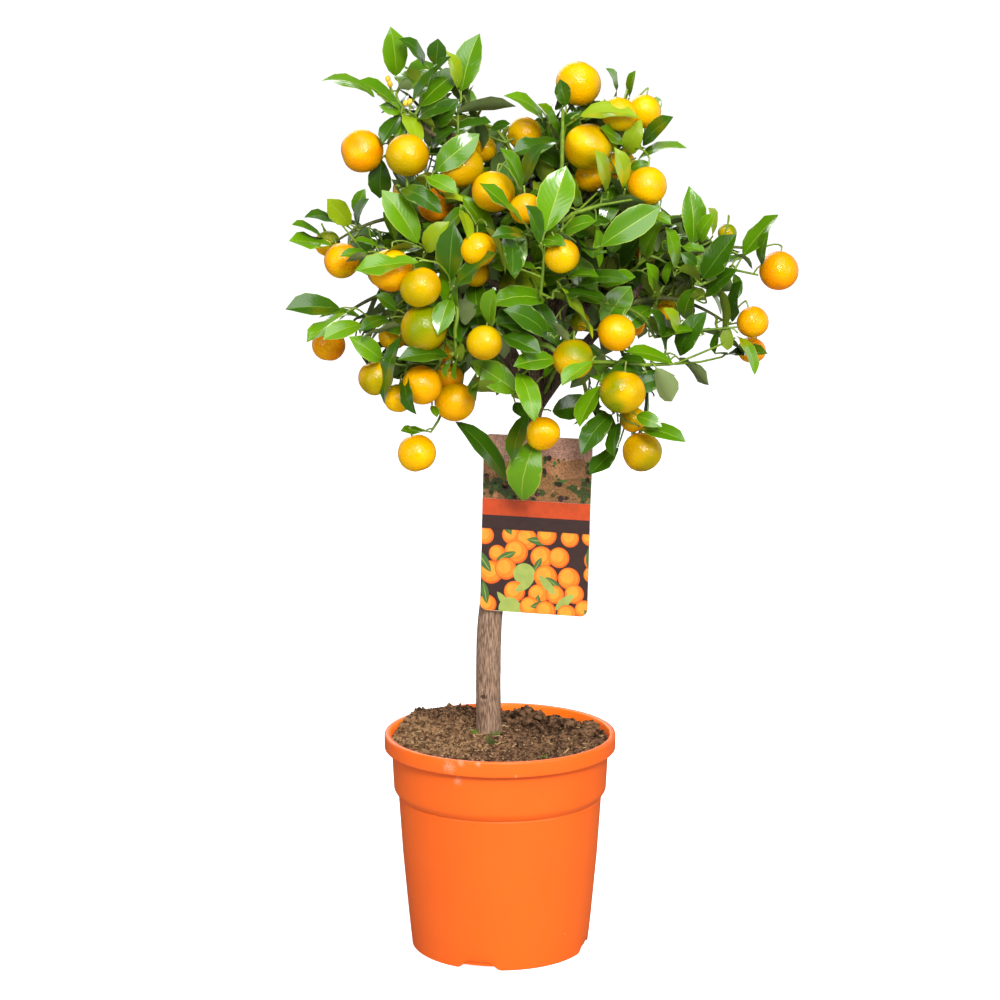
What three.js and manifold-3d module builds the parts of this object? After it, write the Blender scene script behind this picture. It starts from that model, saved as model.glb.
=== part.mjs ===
// Calamondin orange tree growing in its nursery pot, with a hang card on the trunk.
// Millimetres, +Z up. The origin is the centre of the pot's flat underside, the front faces -Y.

import * as THREE from "three";
import { mergeVertices } from "three/addons/utils/BufferGeometryUtils.js";
import Module from "manifold-3d";

const wasm = await Module();
wasm.setup();

// ---- driving dimensions ----

const GAP = 0.3;
const CUT_GAP = 0.4;

// Pot: a thin tapered body, a wider collar over a sloping shoulder and a rim turned down outside.
const POT = { height: 202, wall: 1.8, floor: 2.5, segments: 36 };
// Radius and height up the outside of the wall, from the foot to under the rim.
const WALL_LINE = [
  [82, 0.8],
  [84.9, 30],
  [90.1, 88],
  [93.6, 136],
  [94.4, 143.5],
  [97.9, 150.5],
  [100, 188],
];
const FOOT_RADIUS = WALL_LINE[0][0];
const COLLAR_RADIUS = WALL_LINE.at(-1)[0];
const RIM = { foot: 188, radius: 106.5, crest: 103.5, crown: 2.5, rounding: 3, throat: 4.6 };
const NOTCH = { count: 4, firstAngle: -104, footWidth: 42, topWidth: 17, height: 7, reach: 10, flank: 5 };

// Root ball: compost filling the pot to just under the rim, heaped at the back left.
const SOIL = { level: 195, rings: [97.2, 86, 62, 32, 14], lump: 1.6, pad: 28 };
const HEAP = { x: -48, y: 52, height: 5, spread: 38 };

// Trunk: stands straight, then leans right to its fork.
const TRUNK = { footRadius: 12.4, radius: 11.5, forkRadius: 9, flareHeight: 14, sides: 12, steps: 11 };
const GROUND = 196.5;
const FORK = new THREE.Vector3(33, 8, 512);
const TRUNK_LINE = [
  new THREE.Vector3(-10, 8, GROUND),
  new THREE.Vector3(-10.8, 8, 250),
  new THREE.Vector3(-8.5, 8, 314),
  new THREE.Vector3(5, 8, 400),
  FORK,
];

// Boughs: each tapers from its girth where it leaves its parent to its tip inside its mass.
const BOUGH = { sides: 6, steps: 6, tipShare: 0.5, rise: 0.4, sink: 9 };

// One leaf mass: its centre, half sizes and the furthest shoot that it reaches to, and its bough's
// girth, the limb that the bough leaves and how far along that limb it does.
function mass(name, at, size, shoot, girth, on, along) {
  return { name, at, size, shoot, girth, on, along };
}

const MASSES = [
  mass("upper_left", [-64, -30, 698], [66, 54, 38], [-148, -28, 712], 7, "trunk", 0),
  mass("top_right", [96, 6, 754], [60, 54, 48], [66, 0, 812], 7, "trunk", 0),
  mass("right", [158, -6, 640], [56, 54, 46], [188, -4, 692], 6.5, "trunk", 0),
  mass("front", [24, -88, 656], [58, 52, 54], [8, -146, 636], 5.5, "trunk", 0),
  mass("back_left", [-70, 86, 636], [70, 62, 66], [-132, 136, 640], 6.5, "trunk", 0),
  mass("back_right", [112, 90, 638], [70, 62, 66], [174, 132, 622], 6.5, "trunk", 0),
  mass("top_left", [-52, 10, 776], [56, 54, 56], [-96, 8, 841], 5, "upper_left", 0.6),
  mass("upper_middle", [26, 40, 716], [50, 56, 50], [20, 34, 772], 5, "top_right", 0.35),
  mass("upper_right", [106, -36, 682], [60, 50, 38], [152, -44, 668], 4.5, "top_right", 0.4),
  mass("left", [-80, -56, 616], [60, 54, 44], [-128, -88, 600], 5.5, "upper_left", 0.22),
  mass("low_left", [-78, -46, 544], [52, 50, 38], [-72, -56, 456], 4.5, "left", 0.3),
  mass("front_low", [18, -94, 574], [60, 44, 38], [62, -132, 566], 4, "front", 0.3),
  mass("hanging", [22, -54, 484], [36, 26, 34], [12, -60, 426], 4, "trunk", 0),
  mass("low_right", [115, -46, 526], [52, 48, 42], [130, -56, 452], 5, "right", 0.22),
  mass("back", [24, 126, 692], [60, 56, 60], [10, 190, 692], 5, "back_left", 0.35),
  mass("back_low", [24, 106, 560], [68, 58, 42], [20, 170, 530], 4.5, "back_right", 0.25),
  mass("left_arm", [-146, -14, 654], [38, 34, 30], [-190, -12, 672], 3, "upper_left", 0.8),
  mass("low_left_arm", [-154, 2, 576], [38, 34, 28], [-193, 6, 594], 3, "left", 0.8),
  mass("right_arm", [230, 0, 646], [28, 30, 32], [267, 0, 626], 3, "right", 0.8),
  mass("low_right_arm", [206, 8, 578], [36, 34, 26], [246, 8, 558], 3, "right", 0.6),
];

const LOBE = { detail: 2, uneven: 0.09, budHeight: 0.3, budSpread: 0.5, shootSpread: 0.42 };

// Hang card and the strap that holds it to the trunk.
const CARD = { width: 100, height: 163, thickness: 0.8, corner: 7, x: 32.5, y: -14, z: 398 };
const CARD_LEAN = THREE.MathUtils.degToRad(1.4);
const CARD_TURN = THREE.MathUtils.degToRad(-12);
const STRAP = { x: 22.5, z: 471, front: -11.25, back: 18.6, halfWidth: 14, height: 6, thickness: 0.9 };

// ---- materials ----

function finish(colour, roughness) {
  return new THREE.MeshStandardMaterial({ color: colour, roughness, metalness: 0 });
}

const potPlastic = finish(0xff7d28, 0.45);
const compost = finish(0x5a4636, 0.95);
const bark = finish(0x7d6e5e, 0.9);
const leafGreen = finish(0x3f7a22, 0.45);
const printedCard = finish(0x6b4a33, 0.4);
const strapPlastic = finish(0xe8e4da, 0.5);

// ---- shared shapes ----

// A closed manifold solid from any three.js geometry.
function solid(geometry) {
  const bare = geometry.clone();
  bare.deleteAttribute("normal");
  bare.deleteAttribute("uv");
  const merged = mergeVertices(bare, 1e-4);
  const corners = [];
  const index = merged.index.array;
  for (let i = 0; i < index.length; i += 3) {
    const [a, b, c] = [index[i], index[i + 1], index[i + 2]];
    if (a !== b && b !== c && c !== a) {
      corners.push(a, b, c);
    }
  }
  const vertProperties = new Float32Array(merged.attributes.position.array);
  const triVerts = new Uint32Array(corners);
  return new wasm.Manifold(new wasm.Mesh({ numProp: 3, vertProperties, triVerts }));
}

// The three.js geometry of a manifold solid.
function geometryOf(manifold) {
  const mesh = manifold.getMesh();
  const geometry = new THREE.BufferGeometry();
  geometry.setAttribute("position", new THREE.BufferAttribute(mesh.vertProperties, mesh.numProp));
  geometry.setIndex(new THREE.BufferAttribute(mesh.triVerts, 1));
  geometry.computeVertexNormals();
  return geometry;
}

// The largest of the separate pieces that cutting has left.
function largestPiece(manifold) {
  let best = null;
  for (const piece of manifold.decompose()) {
    if (best === null || piece.volume() > best.volume()) {
      best = piece;
    }
  }
  return best;
}

function piece(name, geometry, material) {
  const mesh = new THREE.Mesh(geometry, material);
  mesh.name = name;
  return mesh;
}

// A limb with a round section along a curve; radiusAt gives its radius from root (0) to tip (1).
function limbGeometry(curve, radiusAt, sides, steps) {
  const limb = new THREE.CylinderGeometry(1, 1, 1, sides, steps);
  const frames = curve.computeFrenetFrames(steps, false);
  const corners = limb.attributes.position;
  const local = new THREE.Vector3();
  for (let i = 0; i < corners.count; i += 1) {
    local.fromBufferAttribute(corners, i);
    const along = local.y + 0.5;
    const ring = Math.round(along * steps);
    const radius = radiusAt(along);
    const place = curve.getPointAt(along);
    place.addScaledVector(frames.normals[ring], local.x * radius);
    place.addScaledVector(frames.binormals[ring], -local.z * radius);
    corners.setXYZ(i, place.x, place.y, place.z);
  }
  return limb;
}

// A swelling surface factor that changes smoothly with direction.
function unevenness(direction, seed) {
  const a = Math.sin(4.1 * direction.x + 1.7 * seed);
  const b = Math.sin(3.7 * direction.y + 1.3 * direction.z + 2.3 * seed);
  const c = Math.sin(5.3 * direction.z + 1.1 * direction.x + 0.9 * seed);
  return 1 + (LOBE.uneven * (a + b + c)) / 2;
}

// ---- pot ----

// Section of the rim: up inside the turned-down lip, round its outside and over into the pot.
function rimLine() {
  const underside = POT.height - RIM.crown;
  const lipInside = RIM.radius - POT.wall;
  return [
    [COLLAR_RADIUS + 0.6, underside],
    [lipInside, underside],
    [lipInside + 0.2, RIM.foot],
    [RIM.radius, RIM.foot],
    [RIM.radius, POT.height - RIM.rounding],
    [RIM.radius - 1.2, POT.height - 0.5],
    [RIM.crest, POT.height],
    [RIM.crest - RIM.rounding, POT.height - 0.4],
    [RIM.crest - RIM.throat, POT.height - RIM.crown],
  ];
}

// The wall line moved in by the wall and an allowance, and stopped at the floor.
function insideLine(allowance) {
  const floor = POT.floor + allowance;
  return WALL_LINE.map(([radius, height]) => [radius - POT.wall - allowance, Math.max(height, floor)]);
}

function turned(points) {
  const profile = points.map(([radius, height]) => new THREE.Vector2(radius, height));
  return new THREE.LatheGeometry(profile, POT.segments).rotateX(Math.PI / 2);
}

// A drain notch is an arch with sloping flanks through the foot of the wall and the floor's edge.
function drainNotch(angle) {
  const half = NOTCH.footWidth / 2;
  const halfTop = NOTCH.topWidth / 2;
  const { height, flank, reach } = NOTCH;
  const arch = new THREE.Shape();
  arch.moveTo(-half, -height);
  arch.lineTo(half, -height);
  arch.lineTo(half, 0);
  arch.bezierCurveTo(half - flank, 0, halfTop + flank, height, halfTop, height);
  arch.lineTo(-halfTop, height);
  arch.bezierCurveTo(-halfTop - flank, height, -half + flank, 0, -half, 0);
  const depth = 2 * reach;
  const block = new THREE.ExtrudeGeometry(arch, { depth, bevelEnabled: false, curveSegments: 4 });
  block.rotateX(Math.PI / 2);
  block.rotateZ(Math.PI / 2);
  block.translate(FOOT_RADIUS - reach, 0, 0);
  block.rotateZ(THREE.MathUtils.degToRad(angle));
  return solid(block);
}

function pot() {
  const outside = [[0, 0], [FOOT_RADIUS - 1, 0], ...WALL_LINE, ...rimLine()];
  const inside = [...insideLine(0).reverse(), [0, POT.floor]];
  let body = solid(turned([...outside, ...inside]));
  for (let i = 0; i < NOTCH.count; i += 1) {
    body = body.subtract(drainNotch(NOTCH.firstAngle + (i * 360) / NOTCH.count));
  }
  return piece("pot", geometryOf(body), potPlastic);
}

// ---- root ball ----

function soilHeight(x, y) {
  const fromHeap = Math.hypot(x - HEAP.x, y - HEAP.y) / HEAP.spread;
  const heap = HEAP.height * Math.exp(-fromHeap * fromHeap);
  const lumps = SOIL.lump * Math.sin(x * 0.11 + 1) * Math.sin(y * 0.13 + x * 0.04);
  return SOIL.level + heap + lumps;
}

// The compost lies level where the trunk's flat foot stands on it.
function rootBall() {
  const floor = POT.floor + GAP;
  const side = insideLine(GAP).slice(0, -1);
  const top = SOIL.rings.map((radius) => [radius, SOIL.level]);
  const ball = turned([[0, floor], ...side, ...top, [0, SOIL.level]]);
  const foot = TRUNK_LINE[0];
  const corners = ball.attributes.position;
  for (let i = 0; i < corners.count; i += 1) {
    if (Math.abs(corners.getZ(i) - SOIL.level) < 0.01) {
      const x = corners.getX(i);
      const y = corners.getY(i);
      const toTrunk = Math.hypot(x - foot.x, y - foot.y);
      const blend = THREE.MathUtils.smoothstep(toTrunk, SOIL.pad, 2 * SOIL.pad);
      corners.setZ(i, THREE.MathUtils.lerp(GROUND - GAP, soilHeight(x, y), blend));
    }
  }
  return piece("root_ball", geometryOf(solid(ball)), compost);
}

// ---- trunk and boughs ----

function trunkRadius(along) {
  const height = along * (FORK.z - GROUND);
  const flare = (TRUNK.footRadius - TRUNK.radius) * Math.max(0, 1 - height / TRUNK.flareHeight);
  const taper = THREE.MathUtils.smoothstep(along, 0.2, 0.75);
  return flare + THREE.MathUtils.lerp(TRUNK.radius, TRUNK.forkRadius, taper);
}

// The trunk's foot is cut flat, level with the ground.
function trunkSolid(allowance) {
  const line = new THREE.CatmullRomCurve3(TRUNK_LINE);
  const radiusAt = (along) => trunkRadius(along) + allowance;
  const geometry = limbGeometry(line, radiusAt, TRUNK.sides, TRUNK.steps);
  const corners = geometry.attributes.position;
  for (let i = 0; i < corners.count; i += 1) {
    if (corners.getZ(i) < GROUND + 1.5) {
      corners.setZ(i, GROUND);
    }
  }
  return solid(geometry);
}

// A bough leaves its root, rises, and bends over into the heart of its mass.
function boughLine(root, heart) {
  const lift = root.distanceTo(heart) * BOUGH.rise;
  const bend = root.clone().lerp(heart, 0.4);
  bend.z += lift * (1 - Math.abs(heart.z - root.z) / root.distanceTo(heart));
  return new THREE.QuadraticBezierCurve3(root, bend, heart);
}

function boughSolid(line, girth, allowance) {
  const radiusAt = (along) => girth * THREE.MathUtils.lerp(1, BOUGH.tipShare, along) + allowance;
  return solid(limbGeometry(line, radiusAt, BOUGH.sides, BOUGH.steps));
}

// ---- leaf masses ----

// Seeded direction in which a mass bulges.
function budDirection(seed) {
  const turn = seed * 2.4;
  const tilt = 0.6 * Math.sin(seed * 2.1);
  return new THREE.Vector3(Math.cos(turn) * Math.cos(tilt), Math.sin(turn) * Math.cos(tilt), Math.sin(tilt));
}

// How strongly a direction leans towards another, from 1 along it down to 0 away from it.
function leaning(direction, target, spread) {
  const share = direction.angleTo(target) / spread;
  return Math.exp(-share * share);
}

// An uneven egg of leaves that bulges on one side and runs out to its furthest shoot.
function massSolid(mass, seed, allowance) {
  const centre = new THREE.Vector3(...mass.at);
  const size = new THREE.Vector3(...mass.size);
  const shoot = new THREE.Vector3(...mass.shoot).sub(centre);
  const egg = new THREE.IcosahedronGeometry(1, LOBE.detail);
  const corners = egg.attributes.position;
  const first = new THREE.Vector3().fromBufferAttribute(corners, 0);
  const turn = new THREE.Quaternion().setFromUnitVectors(first.normalize(), shoot.clone().normalize());
  const direction = new THREE.Vector3();
  for (let i = 0; i < corners.count; i += 1) {
    direction.fromBufferAttribute(corners, i).normalize().applyQuaternion(turn);
    const oval = 1 / direction.clone().divide(size).length();
    const bulge = 1 + LOBE.budHeight * leaning(direction, budDirection(seed), LOBE.budSpread);
    const surface = oval * bulge * unevenness(direction, seed);
    const reach = THREE.MathUtils.lerp(surface, shoot.length(), leaning(direction, shoot, LOBE.shootSpread));
    direction.multiplyScalar(reach + allowance).add(centre);
    corners.setXYZ(i, direction.x, direction.y, direction.z);
  }
  return solid(egg);
}

// ---- hang card ----

function card() {
  const halfWidth = CARD.width / 2;
  const halfHeight = CARD.height / 2;
  const r = CARD.corner;
  const outline = new THREE.Shape();
  outline.moveTo(-halfWidth + r, -halfHeight);
  outline.lineTo(halfWidth - r, -halfHeight);
  outline.absarc(halfWidth - r, -halfHeight + r, r, -Math.PI / 2, 0, false);
  outline.absarc(halfWidth - r, halfHeight - r, r, 0, Math.PI / 2, false);
  outline.absarc(-halfWidth + r, halfHeight - r, r, Math.PI / 2, Math.PI, false);
  outline.absarc(-halfWidth + r, -halfHeight + r, r, Math.PI, Math.PI * 1.5, false);
  const depth = CARD.thickness;
  const sheet = new THREE.ExtrudeGeometry(outline, { depth, bevelEnabled: false, curveSegments: 3 });
  sheet.rotateX(Math.PI / 2);
  const mesh = piece("hang_card", geometryOf(solid(sheet)), printedCard);
  mesh.rotation.set(0, CARD_LEAN, CARD_TURN);
  mesh.position.set(CARD.x, CARD.y, CARD.z);
  return mesh;
}

// A flat strap that loops round the trunk behind the card's top edge.
function strap() {
  const centreY = (STRAP.front + STRAP.back) / 2;
  const halfDepth = (STRAP.back - STRAP.front) / 2;
  const band = new THREE.Shape();
  band.absellipse(0, centreY, STRAP.halfWidth, halfDepth, 0, Math.PI * 2, false, 0);
  const hole = new THREE.Path();
  const inset = STRAP.thickness;
  hole.absellipse(0, centreY, STRAP.halfWidth - inset, halfDepth - inset, 0, Math.PI * 2, true, 0);
  band.holes.push(hole);
  const depth = STRAP.height;
  const ring = new THREE.ExtrudeGeometry(band, { depth, bevelEnabled: false, curveSegments: 10 });
  const mesh = piece("card_strap", geometryOf(solid(ring)), strapPlastic);
  mesh.position.set(STRAP.x, 0, STRAP.z - STRAP.height / 2);
  return mesh;
}

// ---- the whole plant ----

// Masses are laid down in turn, each cut back from those before it.
function foliage() {
  const masses = [];
  MASSES.forEach((mass, order) => {
    let body = massSolid(mass, order + 1, 0);
    for (const earlier of masses) {
      body = body.subtract(earlier.grown);
    }
    masses.push({ ...mass, body: largestPiece(body), grown: massSolid(mass, order + 1, CUT_GAP) });
  });
  return masses;
}

// Each bough is cut off at the trunk, at the boughs laid before it and where it enters a mass.
function boughs(masses) {
  const limbs = [];
  const lines = new Map();
  const taken = [trunkSolid(CUT_GAP)];
  for (const { name, at, girth, on, along } of masses) {
    const root = on === "trunk" ? FORK.clone().setZ(FORK.z - BOUGH.sink) : lines.get(on).getPoint(along);
    const line = boughLine(root, new THREE.Vector3(...at));
    let limb = boughSolid(line, girth, 0);
    for (const other of taken) {
      limb = limb.subtract(other);
    }
    for (const mass of masses) {
      limb = limb.subtract(mass.grown);
    }
    lines.set(name, line);
    taken.push(boughSolid(line, girth, CUT_GAP));
    const bare = largestPiece(limb);
    if (bare !== null) {
      limbs.push(piece(`bough_${name}`, geometryOf(bare), bark));
    }
  }
  return limbs;
}

const masses = foliage();
const tree = new THREE.Group();
tree.add(pot(), rootBall());
tree.add(piece("trunk", geometryOf(trunkSolid(0)), bark));
tree.add(...boughs(masses));
for (const mass of masses) {
  tree.add(piece(`foliage_${mass.name}`, geometryOf(mass.body), leafGreen));
}
tree.add(card(), strap());

export default tree;
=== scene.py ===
"""A calamondin orange tree in its nursery pot: leaves, fruit, bark, compost, pot and hang card.

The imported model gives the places. Every piece here is in metres in its frame: +Z up, front towards -Y.
"""
import logging
import math
import random
from dataclasses import dataclass, field, replace
from enum import Enum, IntEnum

import bmesh
import bpy
import numpy as np
from mathutils import Matrix, Vector, noise


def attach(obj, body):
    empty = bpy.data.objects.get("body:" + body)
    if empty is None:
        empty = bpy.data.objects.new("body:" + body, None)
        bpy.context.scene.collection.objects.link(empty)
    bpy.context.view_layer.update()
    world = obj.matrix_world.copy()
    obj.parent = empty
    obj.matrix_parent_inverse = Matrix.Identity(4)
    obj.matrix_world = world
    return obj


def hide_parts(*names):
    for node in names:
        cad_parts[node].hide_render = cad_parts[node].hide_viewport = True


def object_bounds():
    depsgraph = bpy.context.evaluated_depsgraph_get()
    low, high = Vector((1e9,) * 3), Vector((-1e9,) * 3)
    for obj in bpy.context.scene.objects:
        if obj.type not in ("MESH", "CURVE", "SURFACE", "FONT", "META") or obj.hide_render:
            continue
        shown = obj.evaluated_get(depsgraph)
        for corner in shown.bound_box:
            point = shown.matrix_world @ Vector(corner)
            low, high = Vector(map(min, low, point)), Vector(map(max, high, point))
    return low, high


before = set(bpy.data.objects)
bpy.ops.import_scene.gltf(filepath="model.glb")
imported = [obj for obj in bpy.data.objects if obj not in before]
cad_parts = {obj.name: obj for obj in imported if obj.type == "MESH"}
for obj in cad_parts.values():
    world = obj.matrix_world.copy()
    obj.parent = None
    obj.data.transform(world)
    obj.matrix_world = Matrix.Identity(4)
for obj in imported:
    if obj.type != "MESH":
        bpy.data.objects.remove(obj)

LOG = logging.getLogger("calamondin")
ROOT = "root"
MM = 0.001
SEED = 41
CAD_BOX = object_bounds()
UP = np.array((0.0, 0.0, 1.0))

Array = np.ndarray
BMesh = bmesh.types.BMesh
Colour = tuple[float, float, float]
Material = bpy.types.Material
Node = bpy.types.Node
Object = bpy.types.Object
Pair = tuple[float, float]
Plugs = dict[str | int, object]
Socket = bpy.types.NodeSocket
Tree = bpy.types.NodeTree


# ---- small helpers


def screen(red: float, green: float, blue: float) -> tuple[float, float, float, float]:
    """Turns a display colour into the linear colour that a shader takes.

    Args:
        red, green, blue: the display colour, each from 0 to 255.

    Returns:
        The linear colour with a full alpha.
    """
    linear = [((c / 255 + 0.055) / 1.055) ** 2.4 if c > 10 else c / 255 / 12.92 for c in (red, green, blue)]
    return (linear[0], linear[1], linear[2], 1.0)


def unit(vector: Array) -> Array:
    """Returns the vector at length one."""
    return vector / max(float(np.linalg.norm(vector)), 1e-9)


def smooth(low: float, high: float, value: float) -> float:
    """Returns 0 below low, 1 above high and a smooth step between them."""
    share = min(1.0, max(0.0, (value - low) / (high - low)))
    return share * share * (3 - 2 * share)


def across(axis: Array, toward: Array) -> Array:
    """Turns a direction square to an axis.

    Args:
        axis: the unit axis.
        toward: the wanted direction.

    Returns:
        The unit part of toward that lies square to axis.
    """
    part = toward - axis * float(axis @ toward)
    if float(np.linalg.norm(part)) < 1e-5:
        part = np.cross(axis, np.array((0.31, 0.95, 0.05)))
    return unit(part)


def direction(x: float, y: float, z: float) -> Array:
    """Returns the unit vector along x, y and z."""
    return unit(np.array((x, y, z)))


def axes_along(last: Array, toward: tuple[float, float, float]) -> Array:
    """Builds three square axes.

    Args:
        last: the third of them.
        toward: the way that the first one leans.

    Returns:
        The axes, one a row.
    """
    first = across(last, np.array(toward))
    return np.stack((first, np.cross(last, first), last))


def bezier(start: Array, bend: Array, end: Array, steps: int) -> Array:
    """Returns steps + 1 points of the curve from start to end that leans towards bend."""
    t = np.linspace(0, 1, steps + 1)[:, None]
    return (1 - t) ** 2 * start + 2 * t * (1 - t) * bend + t * t * end


def reaches(line: Array) -> Array:
    """Returns how far along a line each of its points lies."""
    return np.concatenate(((0,), np.cumsum(np.linalg.norm(np.diff(line, axis=0), axis=1))))


def along_line(line: Array, wanted: Array | float) -> Array:
    """Returns the points of a line at the wanted distances along it."""
    reach = reaches(line)
    return np.stack([np.interp(wanted, reach, line[:, k]) for k in range(3)], axis=-1)


def turned_ring(count: int, last: float = 2 * math.pi) -> Array:
    """Returns points of a unit ring round Y, from angle 0 to the last angle."""
    return np.array([(math.cos(a), 0, math.sin(a)) for a in np.linspace(0, last, count)])


def finish_piece(piece: Object, slot: str, *nodes: str) -> Object:
    """Puts a piece on the plant's body and hides the solids that it stands for.

    Args:
        piece: the finished object.
        slot: not used.
        nodes: the solids that the piece replaces.

    Returns:
        The same object.
    """
    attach(piece, ROOT)
    if nodes:
        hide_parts(*nodes)
    faces = len(piece.data.polygons)
    LOG.info("%s: %d faces, stands for %d solids", piece.name, faces, len(nodes))
    return piece


def add_object(name: str, data: bpy.types.ID) -> Object:
    """Adds an object to the scene.

    Args:
        name: its name.
        data: its mesh, curve, light or camera.

    Returns:
        The new object.
    """
    piece = bpy.data.objects.new(name, data)
    bpy.context.scene.collection.objects.link(piece)
    return piece


def object_from_bmesh(name: str, bm: BMesh, materials: list[Material], smooth_faces: bool = True) -> Object:
    """Turns a bmesh into an object in the scene.

    Args:
        name: the object's name.
        bm: the shape, which is freed.
        materials: the object's materials in slot order.
        smooth_faces: whether the faces are shaded smooth.

    Returns:
        The new object.
    """
    mesh = bpy.data.meshes.new(name)
    bm.to_mesh(mesh)
    bm.free()
    for material in materials:
        mesh.materials.append(material)
    mesh.polygons.foreach_set("use_smooth", [smooth_faces] * len(mesh.polygons))
    return add_object(name, mesh)


def plug(tree: Tree, node: Node, plugs: Plugs) -> None:
    """Feeds a node's inputs.

    Args:
        tree: the node tree.
        node: the node.
        plugs: another node's socket or a plain value for each input.
    """
    for label, value in plugs.items():
        if isinstance(value, Socket):
            tree.links.new(value, node.inputs[label])
        else:
            node.inputs[label].default_value = value


def add_node(tree: Tree, kind: str, plugs: Plugs, output: str | int = 0, **settings: object) -> Socket:
    """Adds a shader node.

    Args:
        tree: the node tree.
        kind: the last part of the node's type name.
        plugs: what its inputs are fed with.
        output: the wanted output.
        settings: the node's own settings.

    Returns:
        The wanted output.
    """
    node = tree.nodes.new("ShaderNode" + kind)
    for label, value in settings.items():
        setattr(node, label, value)
    plug(tree, node, plugs)
    return node.outputs[output]


def new_material(name: str) -> tuple[Material, Tree]:
    """Starts a material that is made of nodes.

    Args:
        name: its name.

    Returns:
        The material and its node tree.
    """
    material = bpy.data.materials.new(name)
    material.use_nodes = True
    return material, material.node_tree


def maths(tree: Tree, operation: str, value: object, other: object = 0.0) -> Socket:
    """Adds a math node that works on a socket and on a number or a second socket."""
    return add_node(tree, "Math", {0: value, 1: other}, operation=operation)


def blend(tree: Tree, share: object, low: object, high: object) -> Socket:
    """Adds a node that mixes two colours by a share."""
    return add_node(tree, "Mix", {"Factor": share, "A": low, "B": high}, "Result", data_type="RGBA")


# ---- the front view


@dataclass(frozen=True)
class FrontView:
    """The eye in front of the tree and the square frame that it looks through.

    A seen place is given across and down, in thousandths of the frame's side from its top left corner.
    """

    distance: float = 2.3
    height: float = 0.8235
    pitch: float = math.radians(9.98)
    lens: float = 92.52
    sensor: float = 36.0
    side: float = 1000.0

    def eye(self) -> Array:
        """Returns where the eye is."""
        return np.array((0.0, -self.distance, self.height))

    def focal(self) -> float:
        """Returns how many thousandths of the frame a slope of one spans."""
        return self.side * self.lens / self.sensor

    def ray(self, place: Pair) -> Array:
        """Finds the line of sight of a seen place.

        Args:
            place: the place, across and down.

        Returns:
            Its direction from the eye, one metre deep.
        """
        right = (place[0] - self.side / 2) / self.focal()
        up = (self.side / 2 - place[1]) / self.focal()
        cosine, sine = math.cos(self.pitch), math.sin(self.pitch)
        return np.array((right, cosine + up * sine, -sine + up * cosine))

    def at_depth(self, place: Pair, depth: float) -> Array:
        """Returns the point that is seen at a place and lies at Y = depth."""
        ray = self.ray(place)
        return self.eye() + ray * (depth + self.distance) / ray[1]

    def at_level(self, place: Pair, level: float) -> Array:
        """Returns the point that is seen at a place and lies at Z = level."""
        ray = self.ray(place)
        return self.eye() + ray * (level - self.height) / ray[2]

    def seen(self, points: Array) -> Array:
        """Finds where points are seen.

        Args:
            points: the points, one a row.

        Returns:
            Their places across and down and their depth from the eye, one a row.
        """
        focal, middle = self.focal(), self.side / 2
        cosine, sine = math.cos(self.pitch), math.sin(self.pitch)
        offset = np.atleast_2d(points) - self.eye()
        depth = offset[:, 1] * cosine - offset[:, 2] * sine
        up = offset[:, 1] * sine + offset[:, 2] * cosine
        return np.stack((middle + focal * offset[:, 0] / depth, middle - focal * up / depth, depth), axis=1)

    def metres(self, length: float, depth: float) -> float:
        """Returns the real length of a seen length at Y = depth."""
        scale = self.side * self.lens * math.cos(self.pitch) ** 0.5
        return length * (depth + self.distance) * self.sensor / scale

    def add_camera(self) -> None:
        """Adds the camera that looks through the frame."""
        data = bpy.data.cameras.new("front_camera")
        data.lens = self.lens
        data.sensor_width = self.sensor
        data.clip_end = 100
        camera = add_object("front_camera", data)
        camera.location = self.eye()
        camera.rotation_euler = (math.pi / 2 - self.pitch, 0, 0)
        bpy.context.scene.camera = camera


# ---- finishes


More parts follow.
